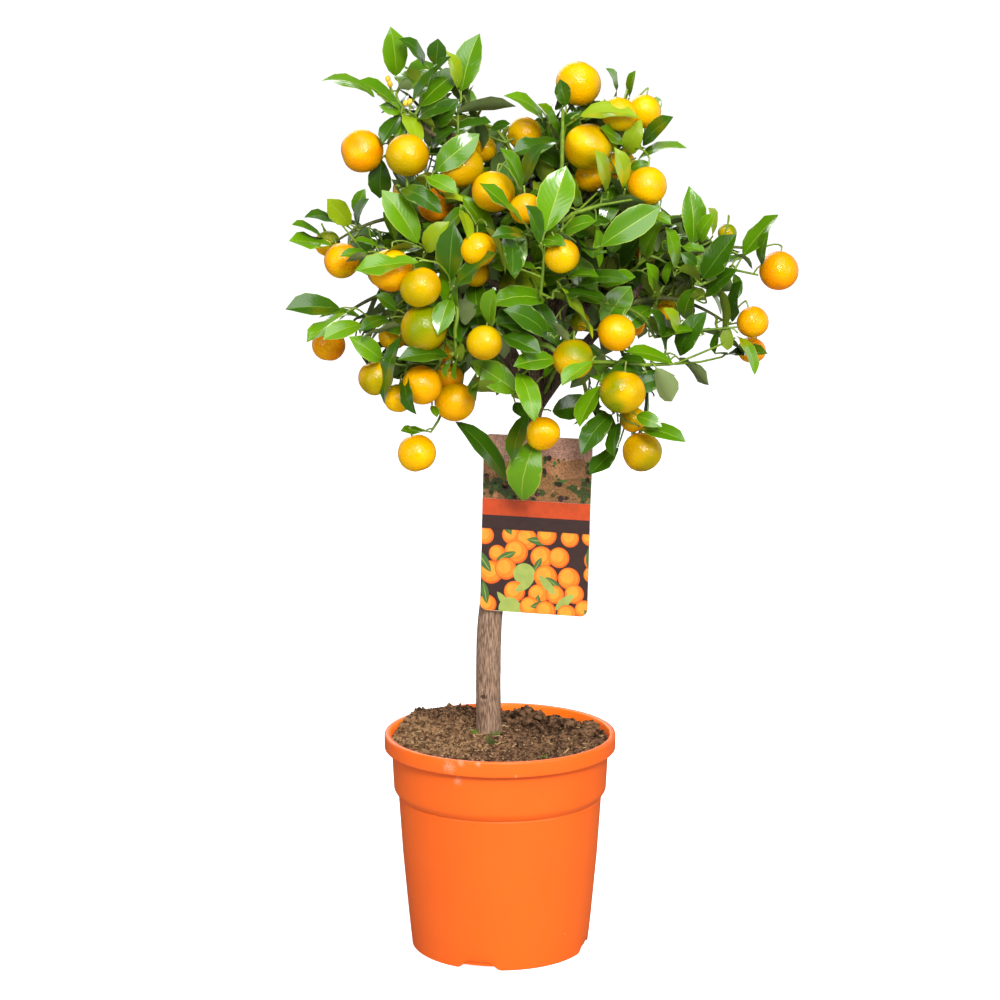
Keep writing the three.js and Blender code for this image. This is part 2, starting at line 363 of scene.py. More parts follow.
class Effect:
    """Node groups that several finishes share, made from noise by place that may be stretched along Z."""

    def __init__(self) -> None:
        """Builds the groups for a mottled colour and for a grainy normal once."""
        tint, number = "NodeSocketColor", "NodeSocketFloat"
        kinds = {"Low": tint, "High": tint, "Scale": number, "Stretch": number, "From": number, "To": number}
        tree, given, pattern = self._group("mottle", kinds, 5)
        limits = {"Value": pattern, "From Min": given["From"], "From Max": given["To"]}
        share = add_node(tree, "MapRange", limits)
        self.mottle = self._close(tree, "Colour", tint, blend(tree, share, given["Low"], given["High"]))
        kinds = {"Scale": number, "Stretch": number, "Depth": number, "Strength": number}
        tree, given, pattern = self._group("grain", kinds, 6)
        relief = {"Height": pattern, "Distance": given["Depth"], "Strength": given["Strength"]}
        self.grain = self._close(tree, "Normal", "NodeSocketVector", add_node(tree, "Bump", relief))

    @staticmethod
    def _group(
        name: str, kinds: dict[str, str], detail: float
    ) -> tuple[Tree, bpy.types.NodeOutputs, Socket]:
        """Starts a group.

        Args:
            name: its name.
            kinds: the socket type of each of its inputs.
            detail: how fine its noise is.

        Returns:
            The group, what it is given and its noise.
        """
        tree = bpy.data.node_groups.new(name, "ShaderNodeTree")
        for label, kind in kinds.items():
            tree.interface.new_socket(label, in_out="INPUT", socket_type=kind)
        given = tree.nodes.new("NodeGroupInput").outputs
        stretch = add_node(tree, "CombineXYZ", {0: 1.0, 1: 1.0, 2: given["Stretch"]})
        place = add_node(tree, "TexCoord", {}, "Object")
        place = add_node(tree, "VectorMath", {0: place, 1: stretch}, operation="MULTIPLY")
        noise_of = {"Vector": place, "Scale": given["Scale"], "Detail": detail}
        return tree, given, add_node(tree, "TexNoise", noise_of)

    @staticmethod
    def _close(tree: Tree, label: str, kind: str, result: Socket) -> Tree:
        """Gives a group its one output.

        Args:
            tree: the group.
            label: the output's name.
            kind: its socket type.
            result: what feeds it.

        Returns:
            The group.
        """
        tree.interface.new_socket(label, in_out="OUTPUT", socket_type=kind)
        plug(tree, tree.nodes.new("NodeGroupOutput"), {label: result})
        return tree


@dataclass(frozen=True)
class Finish:
    """A mottled surface: two colours, its gloss and the fine relief of its grain.

    mottle_scale and grain_scale are spots in a metre; stretch below 1 draws them out along Z; glow is a
    painted glow, an emission that stands in for the light that comes through a thin wall.
    """

    name: str
    low: Colour
    high: Colour
    roughness: float = 0.5
    mottle_scale: float = 60.0
    mottle_from: float = 0.35
    mottle_to: float = 0.65
    stretch: float = 1.0
    grain_scale: float = 400.0
    grain_depth: float = 0.0002
    grain_strength: float = 0.4
    coat: float = 0.0
    coat_roughness: float = 0.1
    specular: float = 0.5
    glow: tuple[float, float, float, float] | None = None
    glow_strength: float = 0.26

    def material(self, effect: Effect) -> Material:
        """Makes the finish's material.

        Args:
            effect: the shared node groups.

        Returns:
            The material.
        """
        material, tree = new_material(self.name)
        mottle = {
            "Low": screen(*self.low), "High": screen(*self.high), "Scale": self.mottle_scale,
            "Stretch": self.stretch, "From": self.mottle_from, "To": self.mottle_to,
        }
        grain = {
            "Scale": self.grain_scale, "Stretch": self.stretch, "Depth": self.grain_depth,
            "Strength": self.grain_strength,
        }
        normal = add_node(tree, "Group", grain, node_tree=effect.grain)
        look = {
            "Base Color": add_node(tree, "Group", mottle, node_tree=effect.mottle, name="mottle"),
            "Normal": normal, "Roughness": self.roughness, "Coat Weight": self.coat,
            "Coat Roughness": self.coat_roughness, "Specular IOR Level": self.specular,
        }
        if self.coat:
            look["Coat Normal"] = normal
        if self.glow:
            look |= {"Emission Color": self.glow, "Emission Strength": self.glow_strength}
        plug(tree, tree.nodes["Principled BSDF"], look)
        return material


class Tint(Enum):
    """Colours of a leaf's blade, from old and deep to young and pale, and its two kinds of underside.

    The seen leaves take the tint that each shows in its light, so on them DEEP also holds painted shade and
    BRIGHT painted highlight.
    """

    DEEP = (52, 92, 4)
    MID = (80, 127, 3)
    BRIGHT = (97, 145, 4)
    LIME = (140, 166, 18)
    OLIVE = (112, 134, 28)
    GREY = (114, 130, 78)


@dataclass(frozen=True)
class LeafFinish:
    """Glossy blade with shallow side veins that run out from the rib by the leaf's own map."""

    name: str
    colour: Colour
    roughness: float = 0.3
    specular: float = 0.32
    coat: float = 0.0
    veins: float = 11.0
    vein_depth: float = 0.0002

    def material(self) -> Material:
        """Makes the finish's material.

        Returns:
            The material.
        """
        material, tree = new_material(self.name)
        place = add_node(tree, "UVMap", {}, uv_map="leaf")
        parts = add_node(tree, "SeparateXYZ", {0: place}).node.outputs
        side = maths(tree, "ABSOLUTE", maths(tree, "SUBTRACT", parts["X"], 0.5))
        along = maths(tree, "SUBTRACT", parts["Y"], maths(tree, "MULTIPLY", side, 0.55))
        wave = maths(tree, "SINE", maths(tree, "MULTIPLY", along, self.veins * 2 * math.pi))
        normal = add_node(tree, "Bump", {"Strength": 0.1, "Distance": self.vein_depth, "Height": wave})
        look = {
            "Base Color": screen(*self.colour), "Roughness": self.roughness,
            "Specular IOR Level": self.specular, "Coat Weight": self.coat, "Coat Roughness": 0.17,
            "Normal": normal, "Coat Normal": normal,
        }
        plug(tree, tree.nodes["Principled BSDF"], look)
        return material


@dataclass(frozen=True)
class PeelFinish:
    """Glossy pored peel that runs from its ripe colour to its green flush by the fruit's own attribute."""

    name: str = "peel"
    ripe: Colour = (242, 190, 0)
    deep: Colour = (244, 144, 0)
    green: Colour = (124, 136, 0)
    roughness: float = 0.4
    pores: float = 520.0

    def material(self, effect: Effect) -> Material:
        """Makes the finish's material.

        Args:
            effect: the shared node groups.

        Returns:
            The material.
        """
        base = Finish(
            self.name, self.ripe, tuple(0.75 * r + 0.25 * d for r, d in zip(self.ripe, self.deep)),
            roughness=self.roughness, mottle_scale=45, grain_scale=self.pores, grain_depth=0.0012,
            grain_strength=0.5, coat=0.65, coat_roughness=0.09, specular=0.0,
        )
        material = base.material(effect)
        tree = material.node_tree
        colour = tree.nodes["mottle"].outputs[0]
        for label, shade in (("ripeness", self.deep), ("flush", self.green)):
            share = add_node(tree, "Attribute", {}, "Fac", attribute_name=label)
            colour = blend(tree, share, colour, screen(*shade))
        plug(tree, tree.nodes["Principled BSDF"], {"Base Color": colour})
        return material


# ---- joined meshes


@dataclass
class Stamp:
    """A small mesh that is set down many times.

    corners are its points, loops the corner numbers of its faces one after another, counts each face's
    number of corners, roles each face's part and uv the map of each loop.
    """

    corners: Array
    loops: Array
    counts: Array
    roles: Array
    uv: Array

    @classmethod
    def from_bmesh(cls, bm: BMesh) -> "Stamp":
        """Makes a stamp of a bmesh, with its material indices as roles.

        Args:
            bm: the small mesh, which is freed.

        Returns:
            The stamp.
        """
        bm.verts.index_update()
        layer = bm.loops.layers.uv.active
        corners = np.array([v.co for v in bm.verts])
        loops = [loop.vert.index for f in bm.faces for loop in f.loops]
        counts = [len(f.loops) for f in bm.faces]
        roles = [f.material_index for f in bm.faces]
        uv = [loop[layer].uv[:] if layer else (0.0, 0.0) for f in bm.faces for loop in f.loops]
        bm.free()
        return cls(corners, np.array(loops), np.array(counts), np.array(roles), np.array(uv))


@dataclass
class Joined:
    """Many stamps joined into one mesh."""

    name: str
    materials: list[Material]
    parts: list[tuple[Array, ...]] = field(default_factory=list)
    values: dict[str, list[Array]] = field(default_factory=dict)
    total: int = 0

    def add(
        self, stamp: Stamp, corners: Array, slots: dict[int, int], values: dict[str, Array] | None = None
    ) -> None:
        """Sets one stamp down.

        Args:
            stamp: the small mesh.
            corners: its points where they go.
            slots: the material slot of each of its roles.
            values: a number for each point, by attribute name.
        """
        own = np.array([slots[int(role)] for role in stamp.roles])
        self.parts.append((corners, stamp.loops + self.total, stamp.counts, own, stamp.uv))
        for label, numbers in (values or {}).items():
            self.values.setdefault(label, []).append(numbers)
        self.total += len(corners)

    def build(self, sharp: float | None = None) -> Object:
        """Builds the joined mesh.

        Args:
            sharp: the angle between two faces above which their edge is sharp, in radians.

        Returns:
            The new object.
        """
        mesh = bpy.data.meshes.new(self.name)
        corners, loops, counts, slots, uv = (np.concatenate(column) for column in zip(*self.parts))
        starts = np.concatenate(((0,), np.cumsum(counts)[:-1]))
        mesh.vertices.add(len(corners))
        mesh.vertices.foreach_set("co", corners.astype(np.float32).ravel())
        mesh.loops.add(len(loops))
        mesh.loops.foreach_set("vertex_index", loops.astype(np.int32))
        mesh.polygons.add(len(counts))
        mesh.polygons.foreach_set("loop_start", starts.astype(np.int32))
        mesh.polygons.foreach_set("material_index", slots.astype(np.int32))
        mesh.polygons.foreach_set("use_smooth", [True] * len(counts))
        mesh.update(calc_edges=True)
        layer = mesh.uv_layers.new(name="leaf")
        layer.data.foreach_set("uv", uv.astype(np.float32).ravel())
        for label, numbers in self.values.items():
            attribute = mesh.attributes.new(label, "FLOAT", "POINT")
            attribute.data.foreach_set("value", np.concatenate(numbers).astype(np.float32))
        for material in self.materials:
            mesh.materials.append(material)
        mesh.validate()
        if sharp is not None:
            mesh.set_sharp_from_angle(angle=sharp)
        return add_object(self.name, mesh)


@dataclass
class Tubes:
    """Many thin tapering stems joined into one mesh through a bevelled curve."""

    name: str
    materials: list[Material]

    def __post_init__(self) -> None:
        """Starts an empty curve."""
        self.curve = bpy.data.curves.new(self.name, "CURVE")
        self.curve.dimensions = "3D"
        self.curve.bevel_depth = 1.0
        self.curve.bevel_resolution = 1
        self.curve.use_fill_caps = True
        for material in self.materials:
            self.curve.materials.append(material)

    def add(self, points: Array, radii: Array, slot: int = 0) -> None:
        """Adds a stem.

        Args:
            points: the points that it follows.
            radii: its radius at each point.
            slot: its material slot.
        """
        spline = self.curve.splines.new("POLY")
        spline.points.add(len(points) - 1)
        spline.points.foreach_set("co", np.column_stack((points, np.ones(len(points)))).ravel())
        spline.points.foreach_set("radius", radii)
        spline.material_index = slot
        spline.use_smooth = True

    def build(self) -> Object:
        """Turns the curve into a mesh.

        Returns:
            The stems as one mesh object.
        """
        holder = add_object(self.name + "_line", self.curve)
        bpy.context.view_layer.update()
        graph = bpy.context.evaluated_depsgraph_get()
        mesh = bpy.data.meshes.new_from_object(holder.evaluated_get(graph))
        mesh.name = self.name
        bpy.data.objects.remove(holder)
        bpy.data.curves.remove(self.curve)
        return add_object(self.name, mesh)


# ---- trunk and boughs


@dataclass(frozen=True)
class Mass:
    """One cloud of leaves and the bough that carries it, in millimetres.

    at is the cloud's centre, size its half sizes, girth the bough's radius, on the limb that the bough
    leaves and along how far up that limb it does.
    """

    name: str
    at: tuple[float, float, float]
    size: tuple[float, float, float]
    girth: float
    on: str
    along: float

    def centre(self) -> Array:
        """Returns the centre in metres."""
        return np.array(self.at) * MM

    def half(self) -> Array:
        """Returns the half sizes in metres."""
        return np.array(self.size) * MM


MASSES = tuple(
    Mass(*row)
    for row in (
        ("upper_left", (-64, -30, 698), (66, 54, 38), 7, "trunk", 0),
        ("top_right", (96, 6, 754), (60, 54, 48), 7, "trunk", 0),
        ("right", (158, -6, 640), (56, 54, 46), 6.5, "trunk", 0),
        ("front", (24, -88, 656), (58, 52, 54), 5.5, "trunk", 0),
        ("back_left", (-70, 86, 636), (70, 62, 66), 6.5, "trunk", 0),
        ("back_right", (112, 90, 638), (70, 62, 66), 6.5, "trunk", 0),
        ("top_left", (-52, 10, 776), (56, 54, 56), 5, "upper_left", 0.6),
        ("upper_middle", (26, 40, 716), (50, 56, 50), 5, "top_right", 0.35),
        ("upper_right", (106, -36, 682), (60, 50, 38), 4.5, "top_right", 0.4),
        ("left", (-80, -56, 616), (60, 54, 44), 5.5, "upper_left", 0.22),
        ("low_left", (-78, -46, 544), (52, 50, 38), 4.5, "left", 0.3),
        ("front_low", (18, -94, 574), (60, 44, 38), 4, "front", 0.3),
        ("hanging", (22, -54, 484), (36, 26, 34), 4, "trunk", 0),
        ("low_right", (115, -46, 526), (52, 48, 42), 5, "right", 0.22),
        ("back", (24, 126, 692), (60, 56, 60), 5, "back_left", 0.35),
        ("back_low", (24, 106, 560), (68, 58, 42), 4.5, "back_right", 0.25),
        ("left_arm", (-146, -14, 654), (38, 34, 30), 3, "upper_left", 0.8),
        ("low_left_arm", (-154, 2, 576), (38, 34, 28), 3, "left", 0.8),
        ("right_arm", (230, 0, 646), (28, 30, 32), 3, "right", 0.8),
        ("low_right_arm", (206, 8, 578), (36, 34, 26), 3, "right", 0.6),
    )
)


@dataclass
class Limb:
    """A bare limb: its centre line and its radius at each point of it."""

    name: str
    line: Array
    radii: Array


@dataclass
class Woodwork:
    """The trunk and the boughs, with the bark's fissures cut into their surface."""

    ground: float = 0.1965
    bends: tuple[tuple[float, float, float], ...] = (
        (-0.010, 0.008, 0.1965), (-0.0108, 0.008, 0.250), (-0.0085, 0.008, 0.314), (0.005, 0.008, 0.400),
        (0.033, 0.008, 0.512),
    )
    foot_radius: float = 0.0124
    radius: float = 0.0116
    fork_radius: float = 0.009
    flare_height: float = 0.014
    sink: float = 0.009
    rise: float = 0.4
    tip_share: float = 0.5
    trunk_sides: int = 72
    trunk_rings: int = 260
    bough_sides: int = 20
    bough_rings: int = 46
    fissure: float = 0.0011
    trunk_relief: float = 0.42
    bough_relief: float = 0.4
    knots: tuple[tuple[float, float, float], ...] = (
        (-1.97, 0.2352, 0.95), (-0.9, 0.33, 0.7), (-2.5, 0.395, 0.9),
    )
    knot_reach: float = 0.0035
    knot_rise: float = 0.0011
    scar_reach: float = 0.0024
    scar_line: Pair = (-0.0107, 0.008)
    foot_sink: float = 0.004
    young_girth: float = 0.0034

    def spine(self, steps: int) -> Array:
        """Draws the smooth line through the trunk's bends.

        Args:
            steps: how many even steps it has.

        Returns:
            Its points, steps + 1 of them.
        """
        bends = [np.array(b) for b in self.bends]
        padded = [2 * bends[0] - bends[1], *bends, 2 * bends[-1] - bends[-2]]
        points = []
        for i in range(1, len(padded) - 2):
            a, b, c, d = padded[i - 1 : i + 3]
            for t in np.linspace(0, 1, 24, endpoint=False):
                square, cube = (2 * a - 5 * b + 4 * c - d) * t**2, (3 * b - a - 3 * c + d) * t**3
                points.append(0.5 * (2 * b + (c - a) * t + square + cube))
        points.append(bends[-1])
        line = np.array(points)
        return along_line(line, np.linspace(0, reaches(line)[-1], steps + 1))

    def trunk_radius(self, along: float, height: float) -> float:
        """Returns the trunk's radius at a share of its length and a height over the ground."""
        flare = (self.foot_radius - self.radius) * max(0.0, 1 - height / self.flare_height)
        return flare + self.radius + (self.fork_radius - self.radius) * smooth(0.2, 0.75, along)

    def bough_line(self, root: Array, heart: Array, steps: int = 30) -> Array:
        """Draws a bough that rises from its root and bends over into its mass.

        Args:
            root: where it starts.
            heart: the middle of its mass.
            steps: how many steps its line has.

        Returns:
            Its points, steps + 1 of them.
        """
        reach = float(np.linalg.norm(heart - root))
        bend = root + (heart - root) * 0.4
        bend[2] += self.rise * reach * (1 - abs(heart[2] - root[2]) / reach)
        return bezier(root, bend, heart, steps)

    def limbs(self) -> list[Limb]:
        """Lays out the bare wood.

        Returns:
            The trunk and then the boughs.
        """
        spine = self.spine(self.trunk_rings)
        shares = np.linspace(0, 1, len(spine))
        radii = np.array([self.trunk_radius(s, p[2] - self.ground) for s, p in zip(shares, spine)])
        found = {"trunk": Limb("trunk", spine, radii)}
        fork = np.array(self.bends[-1]) - np.array((0, 0, self.sink))
        for mass in MASSES:
            root = fork
            if mass.on != "trunk":
                parent = found[mass.on].line
                root = parent[round(mass.along * (len(parent) - 1))]
            line = self.bough_line(root, mass.centre())
            taper = mass.girth * MM * (1 - (1 - self.tip_share * 0.7) * np.linspace(0, 1, len(line)))
            found[mass.name] = Limb(mass.name, line, taper)
        return list(found.values())

    def bark_depth(self, angle: float, reach: float, seed: float) -> float:
        """Finds how far the bark stands off a limb's plain surface.

        Args:
            angle: the turn round the limb.
            reach: the distance along it, in metres.
            seed: sets the bark's pattern.

        Returns:
            About -1 to 1.
        """
        ring = Vector((math.cos(angle), math.sin(angle), 0))
        plates = noise.fractal(ring * 3.2 + Vector((seed, seed, reach * 22)), 0.8, 2.1, 4)
        cracks = abs(noise.noise(ring * 7.5 + Vector((seed, 5, reach * 38))))
        fine = noise.noise(ring * 16 + Vector((seed, 9, reach * 150)))
        swell = noise.noise(ring * 0.8 + Vector((seed, 2, reach * 11)))
        crack = -max(0.0, 0.16 - cracks) * 6.0
        return 0.35 * plates + crack * 0.9 + 0.2 * fine + 0.9 * swell

    def knot_height(self, angle: float, height: float) -> float:
        """Finds the relief of the trunk's old pruning scars.

        Args:
            angle: the turn round the trunk.
            height: the height in metres.

        Returns:
            How far they stand off the trunk, in metres.
        """
        total = 0.0
        for turn, level, size in self.knots:
            sideways = math.remainder(angle - turn, 2 * math.pi) * self.radius
            away = math.hypot(sideways, (height - level) * 0.75) / (self.knot_reach * size)
            ring, hollow = math.exp(-((away - 1) ** 2) * 3), math.exp(-(away**2) * 4)
            total += self.knot_rise * size * (ring - 0.6 * hollow)
        return total

    def tube(self, bm: BMesh, limb: Limb, sides: int, rings: int, depth: float, seed: float) -> None:
        """Adds one limb as a closed tube with its bark.

        Args:
            bm: the mesh that takes the limb.
            limb: its line and radii.
            sides: faces round the limb.
            rings: faces along it.
            depth: the bark's relief in metres.
            seed: sets the bark's pattern.
        """
        reach = reaches(limb.line)
        wanted = np.linspace(0, reach[-1], rings + 1)
        line = along_line(limb.line, wanted)
        radii = np.interp(wanted, reach, limb.radii)
        tangents = np.gradient(line, axis=0)
        side = across(unit(tangents[0]), np.array((1.0, 0.0, 0.0)))
        frames = []
        for tangent in tangents:
            side = across(unit(tangent), side)
            frames.append((side, np.cross(unit(tangent), side)))
        before = set(bm.verts)
        bmesh.ops.create_grid(bm, x_segments=sides, y_segments=rings, size=0.5)
        grid = [v for v in bm.verts if v not in before]
        for vert in grid:
            ring = round((vert.co.y + 0.5) * rings)
            angle = (vert.co.x + 0.5) * 2 * math.pi
            stand = depth * self.bark_depth(angle, float(wanted[ring]), seed)
            if limb.name == "trunk":
                stand += self.knot_height(angle, float(line[ring][2]))
            radius = float(radii[ring]) + stand
            x_axis, y_axis = frames[ring]
            place = line[ring] + radius * (math.cos(angle) * x_axis + math.sin(angle) * y_axis)
            if limb.name == "trunk" and ring == 0:
                place[2] = self.ground - self.foot_sink
            vert.co = Vector(place)
        bmesh.ops.remove_doubles(bm, verts=grid, dist=1e-6)
        edges = [e for e in bm.edges if e.is_boundary]
        bmesh.ops.holes_fill(bm, edges=edges, sides=0)

    def is_scar(self, place: Vector) -> bool:
        """Tests for the dark middle of an old scar.

        Args:
            place: a place on the trunk.

        Returns:
            Whether it lies in one.
        """
        for turn, level, size in self.knots:
            angle = math.atan2(place.y - self.scar_line[1], place.x - self.scar_line[0])
            sideways = math.remainder(angle - turn, 2 * math.pi) * self.radius
            if math.hypot(sideways * 0.75, (place.z - level) * 1.6) < self.scar_reach * size:
                return True
        return False

    def build(self, materials: list[Material]) -> None:
        """Builds the bark piece in place of the trunk and every bough.

        Args:
            materials: the finishes of the trunk, of thin boughs, of scars and of thick boughs, the last a
                darker copy of the bark with painted shade.
        """
        bm = bmesh.new()
        for order, limb in enumerate(self.limbs()):
            is_trunk = limb.name == "trunk"
            sides = self.trunk_sides if is_trunk else self.bough_sides
            rings = self.trunk_rings if is_trunk else self.bough_rings
            thinner = self.bough_relief * float(limb.radii[0]) / self.radius
            depth = self.fissure * (self.trunk_relief if is_trunk else thinner)
            before = set(bm.faces)
            self.tube(bm, limb, sides, rings, depth, 3.7 * order)
            for face in (f for f in bm.faces if f not in before):
                # Thick boughs take the darker bark: painted shade for wood inside the crown.
                face.material_index = 0 if is_trunk else 1 if float(limb.radii[0]) < self.young_girth else 3
                if is_trunk and self.is_scar(face.calc_center_median()):
                    face.material_index = 2
        bmesh.ops.recalc_face_normals(bm, faces=bm.faces)
        piece = object_from_bmesh("bark", bm, materials)
        boughs = [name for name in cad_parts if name.startswith("bough_")]
        finish_piece(piece, "bark", "trunk", *boughs)


# ---- the crown


@dataclass(frozen=True)
class SeenFruit:
    """A fruit as it is seen: its place, its radius, how far it hides behind the leaves and its ripeness.

    sink is in millimetres from the crown's face; flush runs from 0, ripe, to 1, green.
    """

    place: Pair
    radius: float
    sink: float = 14
    flush: float = 0.1
    ripeness: float = 0.2
    stalk: tuple[float, float, float] | None = None
    green: tuple[float, float, float] | None = None


@dataclass(frozen=True)
class SeenLeaf:
    """A leaf as it is seen: where its blade starts and ends, its seen width, its tint and its layer.

    over is 1 for a leaf that lies in front of the fruit round it, -1 for one behind it.
    """

    base: Pair
    tip: Pair
    width: float
    tint: Tint
    over: int = 0


# One letter for each tint, for the rows of leaves.
D, M, B, L, O, G = Tint.DEEP, Tint.MID, Tint.BRIGHT, Tint.LIME, Tint.OLIVE, Tint.GREY

SEEN_FRUIT = (
    SeenFruit((362, 151), 21.5, ripeness=0.55, stalk=(0.9, 0.3, 0.25)),
    SeenFruit((407, 156), 21.5, flush=0.3, green=(-0.5, -0.6, -0.6)),
    SeenFruit((462, 167), 21, flush=0.22, green=(0.8, -0.4, 0.2)), SeenFruit((493, 192), 21.5),
    SeenFruit((483, 149), 14, 34, 0.3), SeenFruit((525, 134), 17.5, 24, stalk=(-0.75, -0.55, -0.3)),
    SeenFruit((578, 84), 22.8, stalk=(-0.55, -0.1, -0.83)),
    SeenFruit((619.5, 114.5), 17.8, flush=0.22, green=(-0.2, -0.6, -0.7)), SeenFruit((644, 111), 17, 22),
    SeenFruit((588, 147), 23.4, 8, 0.3, green=(0.7, -0.4, -0.3)), SeenFruit((621, 166), 16, 34),
    SeenFruit((647, 185), 19.8), SeenFruit((590, 177), 15, 46), SeenFruit((526, 209), 16, 30),
    SeenFruit((562, 256), 17.8, flush=0.22, green=(-0.3, -0.8, -0.4)), SeenFruit((478, 249), 18, 24),
    SeenFruit((391, 270), 22, 16, 0.0, 0.5), SeenFruit((420.5, 287), 21, 8, 0.36, green=(-0.5, -0.6, -0.4)),
    SeenFruit((342, 260), 18, 14, 0.0, 0.5), SeenFruit((328, 243), 13, 44, 0.75),
    SeenFruit((424, 328), 24, 6, 0.5, green=(0.4, -0.7, 0.5)), SeenFruit((329, 345), 17, 14, 0.0, 0.8),
    SeenFruit((485, 343), 18, 14, 0.28, stalk=(0.1, 0.5, 0.86)), SeenFruit((393, 336), 15, 44, 0.2),
    SeenFruit((422.5, 385), 20.4, 18, stalk=(0.6, 0.4, 0.7)), SeenFruit((454, 402), 20.5, 2),
    SeenFruit((449, 376), 14, 44), SeenFruit((376, 378), 18, 22, 0.34, green=(0.3, -0.6, -0.3)),
    SeenFruit((398, 398), 15, 46, 0.6), SeenFruit((417, 453), 19.5), SeenFruit((543, 433), 17.5, 10),
    SeenFruit((573, 359), 20.5, 14, 0.42, green=(0.7, -0.5, 0.3)), SeenFruit((616, 333), 19, 2),
    SeenFruit((634, 325), 11, 60, 0.0, 0.7), SeenFruit((622, 392), 23, 4, 0.5, green=(-0.9, -0.3, -0.3)),
    SeenFruit((642, 452), 20, 14, 0.3, green=(0.7, -0.5, -0.3)), SeenFruit((633, 420), 13, 42, 0.2),
    SeenFruit((779, 271), 19.5, 20, 0.0, 0.75), SeenFruit((753, 322), 16, 20, 0.0, 0.4),
    SeenFruit((752, 350), 14, 40, 0.0, 0.9), SeenFruit((668, 309), 11, 44, 0.3),
    SeenFruit((727, 233), 9.5, 50, 1.0), SeenFruit((436, 205), 18, 50, 0.0, 0.9),
    SeenFruit((385, 270), 18, 46, 0.7), SeenFruit((476, 273), 14, 48, 0.2),
    SeenFruit((447, 352), 12, 46, 0.3), SeenFruit((580, 322), 10, 60, 1.0),
)
